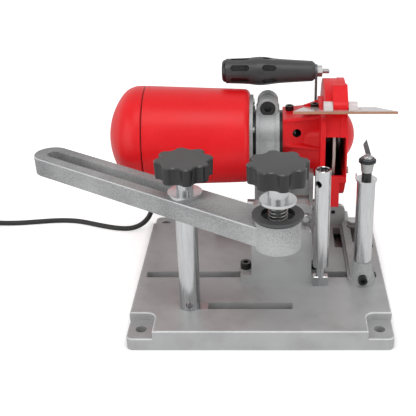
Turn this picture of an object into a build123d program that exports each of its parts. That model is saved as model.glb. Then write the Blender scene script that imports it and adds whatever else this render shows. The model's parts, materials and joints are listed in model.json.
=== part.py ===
"""Bench grinder for circular saw blades: slotted base, swinging motor head with a dish wheel,
an adjustable arm that carries the blade, and a sprung tooth stop.

Millimetres. The origin is the centre of the base's underside, +X runs along the motor shaft
towards the wheel, +Y points away from the operator and +Z is up.
"""
import os
from math import atan2, cos, degrees, pi, radians, sin, sqrt, tan

from build123d import *

# Fits
hex_sides = 6
slide_gap = 0.2
running_gap = 0.05
body_gap = 0.4

# Base casting
base_width = 300.0
base_depth = 300.0
base_height = 25.0
base_corner = 8.0
base_wall = 8.0
deck = 10.0
rib = 8.0
rib_y = (-62.0, 12.0)
edge_round = 1.2
base_round = 1.8
lug_width = 30.0
lug_depth = 38.0
lug_height = 15.0
lug_corner = 10.0
lug_hole = 12.5
lug_hole_x_inset = 15.5
lug_hole_x = base_width / 2 - lug_hole_x_inset
lug_hole_y_inset = 19.5
lug_hole_y = base_depth / 2 - lug_hole_y_inset
slot_width = 14.0
slot_corner = 2.0
front_slot_y = -97.5
front_slot_left = -92.5
front_slot_right = 37.0
rear_slot_y = -26.5
rear_slot_half_inset = 9.0
rear_slot_half = base_width / 2 - rear_slot_half_inset
window_left_inset = 55.0
window_left = base_width / 2 - window_left_inset
window_right_inset = 5.0
window_right = base_width / 2 - window_right_inset
window_front_inset = 108.0
window_front = base_depth / 2 - window_front_inset
window_rear_inset = 52.0
window_rear = base_depth / 2 - window_rear_inset

# Screws: M8 socket caps and M6 socket caps
m8 = 8.0
m8_head = 13.0
m8_head_height = 8.0
m8_socket = 6.0
m6 = 6.0
m6_head = 10.0
m6_head_height = 6.0
m6_socket = 5.0
socket_depth = 4.0
nut_width = 24.0
nut_height = 7.0
nut_length = 22.0

# Rear bracket
bracket_left = -64.0
bracket_right = 112.0
bracket_front_inset = 45.5
bracket_front = base_depth / 2 - bracket_front_inset
bracket_rear_inset = 4.0
bracket_rear = base_depth / 2 - bracket_rear_inset
bracket_wall = 7.0
bracket_height = 30.0
bracket_corner = 8.0
bracket_screw_z = 20.0
bracket_screw_inset = 16.0
grub_depth = 1.0

# Tower and hinge
tower_left = -25.0
tower_right = 73.0
tower_front = -45.0
tower_rear = -8.0
foot_height = 10.0
upright_left = -11.5
upright_right = 60.3
upright_wall = 12.0
upright_top = 97.0
upright_corner = 10.0
tower_screw_inset = 6.0
hinge_wall = 12.0
hinge_top = 125.0
hinge_bolt_z = 106.0
hinge_bolt_inset = 7.0
dome_head = 13.0
dome_height = 5.0
dome_round = 4.0
pivot_y = 20.0
pivot_z = 98.0
pivot_barrel = 26.0
web_clear = 5.0
web_lap = 13.0
neck_angle = 10.0
neck_back = 8.0
neck_lap = 2.0
pivot_pin = 12.0
pivot_head = 14.0
pivot_head_length = 9.0

# Motor, its axis along X
motor_y = 60.0
motor_z = 174.0
motor_r = 61.5
motor_taper = 4.0
motor_wall = 3.0
motor_front_r = motor_r - motor_taper
motor_bore = motor_front_r - motor_wall
motor_left = -142.0
motor_right = -14.0
motor_edge = 7.0
seam = 1.2
dome_left = -187.0
dome_knuckle = 26.0
dome_skirt = 5.6
stator_tail = 20.0
stator_nose = 30.0
flange_r = 51.0
flange_thickness = 4.0
flange_screw_out = 4.5
flange_screws = 6
flange_screw_start = 30.0
flange_head = 7.4
flange_head_height = 2.0
stator_bore = 31.0
air_gap = 0.5
bearing_width = 12.0
bearing_inset = 4.0
bearing_nose = 8.0
tail_inset = 2.0
spindle_r = 12.0
shaft_r = 8.0

# Swing arm and split collar
collar_left = -6.2
collar_right = 22.1
collar_r = 40.0
collar_bore = 32.0
collar_rib = 4.0
collar_channel = 3.0
arm_left = -8.0
arm_right = 63.0
ear = 5.0
web = 9.0
clamp_boss = 26.0
clamp_boss_z = 41.0
clamp_boss_length = 33.0
clamp_counterbore = 19.0
clamp_counterbore_depth = 6.0
clamp_split = 3.0

# Spindle housing
housing_left = 26.0
housing_right = 75.5
housing_r = 26.0
funnel_left = (44.0, 40.0, -5.0)
funnel_right = (70.0, 70.0, -14.0)
funnel_corner = 10.0
housing_bore = 22.0
housing_pad_front = 31.0
housing_pad_rear = 18.0
housing_pad_top = 32.0
housing_pad_bottom = 2.6
housing_pad_recess = 4.0
housing_pad_rise = 4.0
housing_pad_fall = 4.4
housing_rib = 4.5
housing_rib_rise = 8.0
housing_rib_reach = 5.0
gusset_left = 46.0
gusset_height = 11.0
gusset_t = 3.5
housing_screw_y = 64.0
housing_screws_x = (34.6, 65.4)
spotface = 1.2
housing_flange_left = 69.8
housing_flange_front = 68.0
housing_flange_rear = 26.0
housing_flange_top = 46.0
housing_flange_drop = 58.0
handle_pad_left = 42.0
handle_pad_rear = 37.0
handle_pad_top = 22.0
handle_pad_t = 12.0
housing_hole = 10.5
housing_hole_x = 43.0
housing_hole_z = 188.7

# Wheel guard
guard_left = 75.5
guard_split = 93.0
guard_right = 101.0
guard_r = 71.0
guard_wall = 3.5
cover_lip = 0.8
dome_r = 30.5
dome_right = 115.0
dome_rise = 2.0
guard_drop = 64.0
cover_drop = 31.0
window_x0 = guard_left
window_x1 = 99.2
window_z0 = 150.0
window_z1 = 198.0
lug_r = 9.0
lug_bar = 2.4 * lug_r
lug_slope = 35.0
lug_x0 = 83.5
shield_hinge_y = 6.0
shield_hinge_z = 231.0
wheel_x = 86.2
cover_screws = 3
cover_screw_start = 80.0
cover_screw_in = 6.0
cover_screw_head = 8.0
cover_head_height = 3.0
wheel_r = 62.5
wheel_rim = 3.2
wheel_hub_r = 30.0

# Handle
handle_y = 87.0
handle_z = 248.8
grip_left = -48.6
grip_cap = 5.0
grip_cap_r = 13.9
grip_right = 66.2
grip_curve = ((-43.6, 15.1), (-28.0, 15.5), (-14.0, 16.3), (-4.0, 17.4), (16.9, 15.5), (38.1, 13.9),
              (62.8, 12.5))
grip_end_r = 9.6
grip_round = 4.5
grip_bore = 6.6
plate_thickness = 2.5
plate_width = 17.0
plate_foot = 18.0
stud_inset = 10.0
stud_right = 83.8
handle_nut = 6.2
handle_rod = 6.0
oval_x = (-26.3, 12.6)
oval_floor = (13.8, 15.3)
oval_length = 23.0
oval_width = 7.2
oval_rows = 6
oval_turn = 30.0

# Spark shield
shield_left = 36.5
shield_right = 154.0
shield_thickness = 3.0
shield_tilt = 16.4
shield_front = 38.0
shield_rear = 50.0
shield_taper = 15.0
shield_slot_left = 68.6
shield_slot_right = 117.0
shield_slot_play = 1.5
tab_width = 6.5
tab_r = 6.3
tab_thickness = 10.5
shield_head = 8.0
shield_head_height = 4.5
shield_sink = 1.5
shield_nut_r = 4.6

# Arm post, arm and knobs
post_x = -81.5
post_d = 24.0
post_top = 145.5
post_spigot = 10.0
post_bore_depth = 30.0
tommy_hole = 8.0
tommy_z = 33.0
key_length = 31.6
key_offset = 5.0
arm_angle = -34.0
arm_top = 167.5
arm_height = 22.0
arm_width = 43.0
arm_draft = 2.0
arm_slot = 16.0
arm_reach = 227.0
slot_reach_inset = 17.0
slot_reach = arm_reach - slot_reach_inset
slot_back = 12.4
boss_offset = 121.0
boss_d = 47.7
boss_height = 31.2
boss_rise = 5.5
stud_d = 12.0
block_length = 24.0
knob_d = 62.0
knob_height = 19.5
knob_lobes = 8
knob_lobe_r = 9.0
knob_hollow_r = 10.0
knob_bore = 15.0
knob_draft = 2.5
clamp_flange_d = 38.0
clamp_flange_t = 4.0
clamp_hub_d = 18.6
clamp_knob_z = 190.5
seat_d = 53.0
seat_t = 5.5
spring_floor = 163.0
spring_mean = 18.4
spring_well = 34.5
spring_wire = 2.0
spring_turns = 7
blade_flange_d = 37.6
blade_flange_z = 192.0
blade_flange_t = 3.0
blade_hub_d = 21.3
blade_knob_z = 215.4
blade_press = 4.0
seat_cone = 4.0

# Stop post
stop_x = 71.0
stop_y = -50.0
stop_d = 18.6
stop_bottom = 51.5
stop_top = 176.8
stop_bore = 14.0
stop_bore_z = 122.0
stop_hole = 8.5
stop_hole_z = 160.8
stop_hole_turn = 38.0
stop_block = 18.2
stop_block_depth = 9.2
stop_block_height = 13.0
stop_neck = 10.6
stop_pin = 10.0

# Tooth stop
pawl_x_inset = 28.5
pawl_x = base_width / 2 - pawl_x_inset
pawl_front = -52.5
pawl_front_y = -40.0
pawl_width = 33.0
pawl_rear_inset = 47.0
pawl_rear = base_depth / 2 - pawl_rear_inset
pawl_height = 12.0
pawl_flange = 5.0
pawl_step = 2.5
pawl_channel = 17.0
pawl_channel_depth = 2.0
pawl_channel_front = -6.0
pawl_boss = 24.5
pawl_boss_top = 53.5
clamp_screw_z = 34.5
clamp_head = 11.0
clamp_head_height = 7.0
pawl_slot = 8.5
pawl_slot_front_inset = 114.0
pawl_slot_front = base_depth / 2 - pawl_slot_front_inset
pawl_slot_rear_inset = 51.0
pawl_slot_rear = base_depth / 2 - pawl_slot_rear_inset
pawl_bolt_y_inset = 65.5
pawl_bolt_y = base_depth / 2 - pawl_bolt_y_inset
pawl_tube_d = 21.4
pawl_tube_top = 159.0
pawl_rod_d = 11.4
pawl_rod_top = 190.0
pawl_collar_low = 12.8
pawl_collar_d = 15.8
pawl_collar_z = 169.5
pawl_clip_d = 20.0
pawl_clip_t = 2.5
finger_z = 185.0
finger_length = 58.0
finger_width = 5.5
finger_t = 2.0
finger_turn = 0.3
finger_side = 2.3
finger_ring = 16.0
finger_point = 15.0
plate_left_inset = 14.0
plate_left = pawl_x - plate_left_inset
plate_right_x_offset = 14.0
plate_right_x = pawl_x + plate_right_x_offset
plate_front_y_inset = 120.0
plate_front_y = base_depth / 2 - plate_front_y_inset
plate_rear_y_inset = 46.4
plate_rear_y = base_depth / 2 - plate_rear_y_inset
plate_bottom = 6.0
hex_width = 13.0
hex_height = 6.0
washer_d = 16.0
washer_height = 2.0
rod_bottom = 60.0
tube_bottom = 31.0
tube_washer = 25.0
tube_washer_t = 1.5
tab_height = 7.0

# Switch and mains cord
switch_x = -80.0
switch_width = 30.0
switch_height = 26.0
switch_sink = 7.0
switch_proud = 6.0
switch_front = motor_y + motor_r - switch_sink
switch_rear = motor_y + motor_r + switch_proud
recess_width = 18.0
recess_height = 20.0
recess_depth = 6.5
rocker_gap = 0.6
rocker_half = 8.8
rocker_sink = 4.9
rocker_proud = 1.5
rocker_pivot = 2.5
rocker_back = switch_rear - rocker_sink
rocker_front = switch_rear + rocker_proud
rocker_y = switch_rear - rocker_pivot
switch_pin = 3.0
gland_x = -158.0
gland_angle = 50.0
gland_r = 7.0
gland_collar_r = 9.5
gland_in = 6.0
gland_collar = 5.0
gland_taper = 26.0
cord_d = 7.0
cord_floor = 3.6
cord_straight = 4 * cord_d
cord_lead = 6 * cord_d
bend_share = 0.45
coil_x = -440.0
coil_y = 100.0
coil_outer = 50.0
coil_pitch = 7.6
coil_in_turns = 3.0
coil_out_turns = 3.25
cord_tail = 40.0
coil_lift = 1.8
tie_t = 1.2
tie_width = 9.0
plug_length = 38.0
plug_width = 34.0
plug_taper = 24.0
plug_neck_r = 7.7
plug_pin = 4.8
plug_pin_length = 19.0
plug_pin_pitch = 19.0


def level(z):
    """Horizontal plane at height z, local axes X and Y."""
    return Plane.XY.offset(z)


def across(x, y=0.0, z=0.0):
    """Upright plane facing the wheel end, local axes Y and Z."""
    return Plane(origin=(x, y, z), x_dir=(0, 1, 0), z_dir=(1, 0, 0))


def facing(y, x=0.0, z=0.0):
    """Upright plane facing the operator, local axes X and Z."""
    return Plane(origin=(x, y, z), x_dir=(1, 0, 0), z_dir=(0, -1, 0))


def save(piece, name):
    """Label a finished piece and write it under its own name."""
    piece.part.label = name
    export_step(piece.part, f"parts/{name}.step")


def span(low, high):
    """Middle and length of a stretch."""
    return (low + high) / 2, high - low


def cap_screw(head_plane, head_d, head_h, socket, shank_d, shank_length):
    """Socket cap screw whose head stands on head_plane and whose shank goes the other way."""
    with BuildSketch(head_plane) as head:
        Circle(head_d / 2)
    extrude(head.sketch, amount=head_h)
    with BuildSketch(head_plane.offset(head_h - socket_depth)) as key:
        RegularPolygon(socket / 2, hex_sides, major_radius=False)
    extrude(key.sketch, amount=socket_depth, mode=Mode.SUBTRACT)
    with BuildSketch(head_plane) as shank:
        Circle(shank_d / 2)
    extrude(shank.sketch, amount=-shank_length)


def star_knob(seat):
    """Lobed hand knob standing on the plane seat: lobes on a ring, hollows between, blind bore below."""
    ring = knob_d / 2 - knob_lobe_r
    with BuildSketch(seat) as outline:
        Circle(knob_d / 2 - knob_lobe_r / 2)
        with PolarLocations(ring, knob_lobes):
            Circle(knob_lobe_r)
        with PolarLocations(knob_d / 2 + knob_hollow_r / 2, knob_lobes, start_angle=180 / knob_lobes):
            Circle(knob_hollow_r, mode=Mode.SUBTRACT)
    body = extrude(outline.sketch, amount=knob_height, taper=-knob_draft)
    chamfer(body.faces().sort_by(Axis.Z)[-1].edges(), edge_round)
    with BuildSketch(seat) as bore:
        Circle(stud_d / 2 + running_gap)
    extrude(bore.sketch, amount=knob_bore, mode=Mode.SUBTRACT)


def biarc(start, start_dir, end, end_dir):
    """Two tangent arcs from one point and direction to another point and direction."""
    chord = end - start
    bend = 2 * (1 - start_dir.dot(end_dir))
    along = chord.dot(start_dir + end_dir)
    reach = (sqrt(along**2 + bend * chord.dot(chord)) - along) / bend
    first = start + start_dir * reach
    last = end - end_dir * reach
    middle = (first + last) / 2
    TangentArc(start, middle, tangent=start_dir)
    TangentArc(middle, end, tangent=last - first)


def winding(place, turns, lead, tail):
    """Path of a wound wire: quarter-turn biarcs through place(turn), straight at both ends."""
    step = 1e-4
    stations = [quarter / 4 for quarter in range(int(4 * turns) + 1)]
    spots = [place(turn) for turn in stations]
    ways = [(place(turn + step) - place(turn - step)).normalized() for turn in stations]
    with BuildLine() as path:
        Line(spots[0] - ways[0] * lead, spots[0])
        for index in range(len(stations) - 1):
            biarc(spots[index], ways[index], spots[index + 1], ways[index + 1])
        Line(spots[-1], spots[-1] + ways[-1] * tail)
    return path.line


def least_gap(place, turns, wire, steps=48):
    """Smallest clear distance between different turns of a wound wire."""
    spots = [place(count / steps) for count in range(int(turns * steps) + 1)]
    near = [(spots[i] - spots[j]).length
            for i in range(len(spots)) for j in range(i + steps // 2, len(spots))]
    return min(near) - wire


os.makedirs("parts", exist_ok=True)

# Base: a ribbed casting with four recessed bolt lugs, two long slots and a window
def on_rim(edge):
    """True for an edge on the base's outer outline."""
    mid = edge.center()
    return abs(mid.X) > base_width / 2 - base_corner or abs(mid.Y) > base_depth / 2 - base_corner


with BuildPart() as base_plate:
    with BuildSketch():
        RectangleRounded(base_width, base_depth, base_corner)
    extrude(amount=base_height)
    with BuildSketch(level(lug_height)):
        with GridLocations(base_width, base_depth, 2, 2):
            RectangleRounded(2 * lug_width, 2 * lug_depth, lug_corner)
    extrude(amount=base_height - lug_height, mode=Mode.SUBTRACT)
    fillet(base_plate.faces().sort_by(Axis.Z)[-1].outer_wire().edges(), base_round)
    lug_rims = base_plate.edges().filter_by_position(Axis.Z, lug_height, lug_height)
    fillet(lug_rims.filter_by(on_rim), base_round)
    with BuildSketch():
        Rectangle(base_width - 2 * (lug_width + base_wall), base_depth - 2 * base_wall)
        Rectangle(base_width - 2 * base_wall, base_depth - 2 * (lug_depth + base_wall))
        with Locations(*[(0, y) for y in rib_y]):
            Rectangle(base_width, rib, mode=Mode.SUBTRACT)
    extrude(amount=base_height - deck, mode=Mode.SUBTRACT)
    front_slot_mid, front_slot_length = span(front_slot_left, front_slot_right)
    window_mid_x, window_width = span(window_left, window_right)
    window_mid_y, window_depth = span(window_front, window_rear)
    bracket_mid, bracket_width = span(bracket_left, bracket_right)
    bracket_screw_x = bracket_width / 2 - bracket_screw_inset
    bracket_foot_y = bracket_front + bracket_wall + (bracket_rear - bracket_front - bracket_wall) / 2
    with BuildSketch():
        with GridLocations(2 * lug_hole_x, 2 * lug_hole_y, 2, 2):
            Circle(lug_hole / 2)
        with Locations((front_slot_mid, front_slot_y)):
            RectangleRounded(front_slot_length, slot_width, slot_corner)
        with Locations((0, rear_slot_y)):
            RectangleRounded(2 * rear_slot_half, slot_width, slot_corner)
        with Locations((window_mid_x, window_mid_y)):
            RectangleRounded(window_width, window_depth, slot_corner)
        with Locations((stop_x, stop_y)):
            Circle(m8 / 2)
        with Locations((bracket_mid - bracket_screw_x, bracket_foot_y),
                       (bracket_mid + bracket_screw_x, bracket_foot_y)):
            Circle(m8 / 2)
    extrude(amount=base_height, mode=Mode.SUBTRACT)
save(base_plate, "base_plate")

# Rear bracket: an angle bolted to the back of the deck, with two stop screws
with BuildPart() as rear_bracket:
    with BuildSketch(facing(bracket_front + bracket_wall)) as upright_face:
        with Locations((bracket_mid, base_height + bracket_height / 2)):
            Rectangle(bracket_width, bracket_height)
        fillet(upright_face.vertices().group_by(Axis.Y)[-1], bracket_corner)
        with Locations((bracket_mid - bracket_screw_x, base_height + bracket_screw_z),
                       (bracket_mid + bracket_screw_x, base_height + bracket_screw_z)):
            Circle(m6 / 2, mode=Mode.SUBTRACT)
    extrude(amount=bracket_wall)
    foot_mid_y, foot_depth = span(bracket_front + bracket_wall, bracket_rear)
    with BuildSketch(level(base_height)):
        with Locations((bracket_mid, foot_mid_y)):
            Rectangle(bracket_width, foot_depth)
        with Locations((bracket_mid - bracket_screw_x, bracket_foot_y),
                       (bracket_mid + bracket_screw_x, bracket_foot_y)):
            Circle(m8 / 2, mode=Mode.SUBTRACT)
    extrude(amount=bracket_wall)
save(rear_bracket, "rear_bracket")

with BuildPart() as bracket_screws:
    for side in (-1, 1):
        screw_x = bracket_mid + side * bracket_screw_x
        cap_screw(Plane(origin=(screw_x, bracket_foot_y, base_height + bracket_wall)),
                  m8_head, m8_head_height, m8_socket, m8, bracket_wall + deck)
        with BuildSketch(facing(bracket_front + grub_depth, screw_x, base_height + bracket_screw_z)):
            Circle(m6 / 2)
        extrude(amount=-2 * bracket_wall)
save(bracket_screws, "bracket_screws")

# Tower: foot bracket clamped in the rear slot, hinge plate and pivot block bolted behind it
tower_mid, tower_width = span(tower_left, tower_right)
upright_mid, upright_width = span(upright_left, upright_right)
hinge_front = tower_front + upright_wall
tower_screw_x = (tower_left + tower_screw_inset, tower_right - tower_screw_inset)
with BuildPart() as tower_bracket:
    with BuildSketch(level(base_height)):
        with Locations((tower_mid, (tower_front + tower_rear) / 2)):
            Rectangle(tower_width, tower_rear - tower_front)
    extrude(amount=foot_height)
    with BuildSketch(facing(hinge_front)) as tower_face:
        with Locations((upright_mid, (base_height + upright_top) / 2)):
            Rectangle(upright_width, upright_top - base_height)
        fillet(tower_face.vertices().group_by(Axis.Y)[-1], upright_corner)
    extrude(amount=upright_wall)
    with BuildSketch(level(base_height)):
        with Locations(*[(x, rear_slot_y) for x in tower_screw_x]):
            Circle(m8 / 2)
    extrude(amount=foot_height, mode=Mode.SUBTRACT)
save(tower_bracket, "tower_bracket")

nut_top = base_height - deck - slide_gap
with BuildPart() as tower_screws:
    for x in tower_screw_x:
        cap_screw(Plane(origin=(x, rear_slot_y, base_height + foot_height)), m8_head,
                  m8_head_height, m8_socket, m8, foot_height + deck + slide_gap + nut_height)
save(tower_screws, "tower_screws")

with BuildPart() as tower_nuts:
    with BuildSketch(level(nut_top - nut_height)):
        with Locations(*[(x, rear_slot_y) for x in tower_screw_x]):
            Rectangle(nut_length, nut_width)
            Circle(m8 / 2, mode=Mode.SUBTRACT)
    extrude(amount=nut_height)
save(tower_nuts, "tower_nuts")

hinge_bottom = base_height + foot_height
hinge_rear = hinge_front + hinge_wall
hinge_bolt_x = (upright_left + hinge_bolt_inset, upright_right - hinge_bolt_inset)
with BuildPart() as hinge_plate:
    with BuildSketch(facing(hinge_rear)) as hinge_face:
        with Locations((upright_mid, (hinge_bottom + hinge_top) / 2)):
            Rectangle(upright_width, hinge_top - hinge_bottom)
        fillet(hinge_face.vertices().group_by(Axis.Y)[-1], upright_corner)
        with Locations(*[(x, hinge_bolt_z) for x in hinge_bolt_x]):
            Circle(m8 / 2, mode=Mode.SUBTRACT)
    extrude(amount=hinge_wall)
save(hinge_plate, "hinge_plate")

block_left = arm_left + ear + body_gap
block_right = arm_right - ear - body_gap
with BuildPart() as pivot_block:
    with BuildSketch(across(block_left, pivot_y, pivot_z)):
        Circle(pivot_barrel / 2)
        reach = pivot_y - hinge_rear
        with Locations((-reach / 2, 0)):
            Rectangle(reach, pivot_barrel)
        Circle(pivot_pin / 2, mode=Mode.SUBTRACT)
    extrude(amount=block_right - block_left)
    with BuildSketch(facing(pivot_y)):
        with Locations(*[(x, hinge_bolt_z) for x in hinge_bolt_x]):
            Circle(m8 / 2)
    extrude(amount=pivot_y - hinge_rear, mode=Mode.SUBTRACT)
save(pivot_block, "pivot_block")

with BuildPart() as hinge_bolts:
    for x in hinge_bolt_x:
        with BuildSketch(facing(hinge_front, x, hinge_bolt_z)):
            Circle(dome_head / 2)
        extrude(amount=dome_height)
        fillet(hinge_bolts.edges().group_by(Axis.Y)[0], dome_round)
        with BuildSketch(facing(hinge_front, x, hinge_bolt_z)):
            Circle(m8 / 2)
        extrude(amount=-(hinge_wall + m8))
save(hinge_bolts, "hinge_bolts")

with BuildPart() as pivot_screw:
    with BuildSketch(across(arm_left - body_gap, pivot_y, pivot_z)):
        Circle(pivot_head / 2)
    extrude(amount=-pivot_head_length)
    with BuildSketch(across(arm_right + body_gap, pivot_y, pivot_z)):
        Circle(pivot_head / 2)
    extrude(amount=pivot_head_length)
    with BuildSketch(across(arm_left - body_gap, pivot_y, pivot_z)):
        Circle(pivot_pin / 2)
    extrude(amount=arm_right - arm_left + 2 * body_gap)
save(pivot_screw, "pivot_screw")

# Swing arm: two ears on the pivot, a wide web between them and a ribbed split collar above
axis_y = motor_y - pivot_y
axis_z = motor_z - pivot_z
ear_r = pivot_barrel / 2 + 1
web_bottom = pivot_barrel / 2 + web_clear
web_top = axis_z - collar_r + web_lap
collar_mid, collar_width = span(collar_left, collar_right)


def arm_side(inset):
    """Side view of the arm about the pivot: a neck from the web up into the collar's disc."""
    disc_r = collar_r - inset
    lean = radians(neck_angle)
    front = -ear_r + inset
    with BuildSketch() as side:
        with Locations((axis_y, axis_z)):
            Circle(disc_r)
        with BuildLine():
            Polyline((front, web_bottom), (front, web_top),
                     (axis_y - disc_r * cos(lean), axis_z + disc_r * sin(lean)), (axis_y, axis_z),
                     (axis_y - neck_back, axis_z - disc_r + neck_lap), (ear_r, web_bottom), close=True)
        make_face()
    return side.sketch


with BuildPart() as swing_arm:
    for x in (arm_left, arm_right - ear):
        with BuildSketch(across(x, pivot_y, pivot_z)):
            Circle(ear_r)
            with Locations((-ear_r / 2, web_top / 2)):
                Rectangle(ear_r, web_top)
            Circle(pivot_pin / 2 + running_gap, mode=Mode.SUBTRACT)
        extrude(amount=ear)
    with BuildSketch(across(arm_left, pivot_y, pivot_z)):
        with Locations((-ear_r + collar_channel + web / 2, (web_bottom + web_top) / 2)):
            Rectangle(web, web_top - web_bottom)
    extrude(amount=arm_right - arm_left)
    with BuildSketch(across(collar_left, pivot_y, pivot_z)):
        add(arm_side(collar_channel))
    extrude(amount=collar_width)
    for x in (collar_left, collar_right - collar_rib):
        with BuildSketch(across(x, pivot_y, pivot_z)):
            add(arm_side(0))
        extrude(amount=collar_rib)
    clamp_front = motor_y - clamp_boss_length / 2
    with BuildSketch(facing(motor_y + clamp_boss_length / 2, collar_mid, motor_z + clamp_boss_z)):
        Circle(clamp_boss / 2)
    extrude(amount=clamp_boss_length)
    with BuildSketch(across(collar_left - clamp_boss, motor_y, motor_z)):
        Circle(collar_bore)
        with Locations((0, clamp_boss_z)):
            Rectangle(clamp_split, 2 * clamp_boss_z)
    extrude(amount=collar_width + 2 * clamp_boss, mode=Mode.SUBTRACT)
    with BuildSketch(facing(clamp_front + clamp_counterbore_depth, collar_mid, motor_z + clamp_boss_z)):
        Circle(clamp_counterbore / 2)
    extrude(amount=clamp_counterbore_depth, mode=Mode.SUBTRACT)
    with BuildSketch(facing(motor_y + clamp_boss_length, collar_mid, motor_z + clamp_boss_z)):
        Circle(m8 / 2)
    extrude(amount=2 * clamp_boss_length, mode=Mode.SUBTRACT)
save(swing_arm, "swing_arm")

with BuildPart() as collar_screw:
    cap_screw(facing(clamp_front + clamp_counterbore_depth, collar_mid, motor_z + clamp_boss_z),
              clamp_counterbore - 2 * body_gap, clamp_counterbore_depth - body_gap, m8, m8,
              clamp_boss_length - clamp_counterbore_depth)
save(collar_screw, "collar_screw")

# Motor: rolled shell, domed end cap, front flange with the nose tube that the collar grips
motor_length = motor_right - motor_left
motor_line = Axis((0, motor_y, motor_z), (1, 0, 0))
with BuildPart() as motor_shell:
    with BuildSketch(Plane(origin=(motor_left, motor_y, motor_z), x_dir=(1, 0, 0), z_dir=(0, -1, 0))):
        with BuildLine():
            Polyline((0, motor_bore), (0, motor_r - seam), (seam, motor_r), (motor_length, motor_front_r),
                     (motor_length, collar_bore), (motor_length - motor_wall, collar_bore),
                     (motor_length - motor_wall, motor_bore), close=True)
        make_face()
    revolve(axis=motor_line)
    fillet(motor_shell.edges().group_by(Axis.X)[-1].sort_by(SortBy.RADIUS)[-1], motor_edge)
save(motor_shell, "motor_shell")

dome_length = motor_left - dome_left
knuckle_y = motor_r - dome_knuckle
knuckle_x = seam + dome_skirt
crown_depth = dome_length - knuckle_x
crown_r = (crown_depth**2 + knuckle_y**2 - dome_knuckle**2) / (2 * (crown_depth - dome_knuckle))
crown_x = dome_length - crown_r
knuckle_start = degrees(atan2(knuckle_y, knuckle_x - crown_x))
gland_way = Vector(0, sin(radians(gland_angle)), -cos(radians(gland_angle)))
gland_seat = Plane(origin=Vector(gland_x, motor_y, motor_z) + gland_way * motor_r, z_dir=gland_way)
with BuildPart() as motor_dome_cap:
    with BuildSketch(Plane(origin=(motor_left, motor_y, motor_z), x_dir=(-1, 0, 0), z_dir=(0, -1, 0))):
        with BuildLine():
            for inset in (0, motor_wall):
                CenterArc((knuckle_x, knuckle_y), dome_knuckle - inset, knuckle_start, 90 - knuckle_start)
                CenterArc((crown_x, 0), crown_r - inset, 0, knuckle_start)
            Polyline((knuckle_x, motor_r - motor_wall), (0, motor_r - motor_wall), (0, motor_r - seam),
                     (seam, motor_r), (knuckle_x, motor_r))
            Line((dome_length - motor_wall, 0), (dome_length, 0))
        make_face()
    revolve(axis=motor_line)
    with BuildSketch(gland_seat.offset(-gland_in)):
        Circle(gland_r)
    extrude(amount=2 * gland_in, mode=Mode.SUBTRACT)
save(motor_dome_cap, "motor_dome_cap")

flange_right = motor_right + flange_thickness
nose_right = housing_left
flange_screw_r = collar_r + flange_screw_out
with BuildPart() as motor_flange:
    with BuildSketch(across(motor_right, motor_y, motor_z)):
        Circle(flange_r)
        Circle(housing_bore, mode=Mode.SUBTRACT)
    extrude(amount=flange_thickness)
    with BuildSketch(across(flange_right, motor_y, motor_z)):
        Circle(collar_bore)
        Circle(housing_bore, mode=Mode.SUBTRACT)
    extrude(amount=nose_right - flange_right)
save(motor_flange, "motor_flange")

stator_left = motor_left + stator_tail
stator_right = motor_right - stator_nose
with BuildPart() as stator:
    with BuildSketch(across(stator_left, motor_y, motor_z)):
        Circle(motor_bore)
        Circle(stator_bore, mode=Mode.SUBTRACT)
    extrude(amount=stator_right - stator_left)
save(stator, "stator")

bearing_left_x = housing_left + bearing_inset
bearing_right_x = housing_right - bearing_width - bearing_nose
tail_bearing_x = motor_left + tail_inset
with BuildPart() as tail_bracket:
    with BuildSketch(across(tail_bearing_x, motor_y, motor_z)):
        Circle(motor_bore)
        Circle(housing_bore, mode=Mode.SUBTRACT)
    extrude(amount=bearing_width)
save(tail_bracket, "tail_bracket")

with BuildPart() as bearings:
    for x in (tail_bearing_x, bearing_left_x, bearing_right_x):
        with BuildSketch(across(x, motor_y, motor_z)):
            Circle(housing_bore)
            Circle(spindle_r + running_gap, mode=Mode.SUBTRACT)
        extrude(amount=bearing_width)
save(bearings, "bearings")

# Spindle housing: a tube in a funnel, a flat-sided box with ribs on it, and a flange that carries the guard
housing_top = motor_z + housing_pad_top
housing_length = housing_right - housing_left
plate_right = grip_right + slide_gap + plate_thickness
foot_screw_x = plate_right - plate_thickness - plate_foot / 2
handle_seat = motor_z + handle_pad_top
screw_seats = [housing_top + housing_pad_rise * (x - housing_left) / housing_length - spotface / 3
               for x in housing_screws_x]


def housing_box(x, front, rear, bottom, top, corner):
    """Rounded rectangle across the shaft at x, its edges measured from the axis."""
    mid_y, width = span(-front, rear)
    mid_z, height = span(bottom, top)
    with BuildSketch(across(x, motor_y, motor_z)) as box:
        with Locations((mid_y, mid_z)):
            RectangleRounded(width, height, corner)
    return box.sketch


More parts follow.
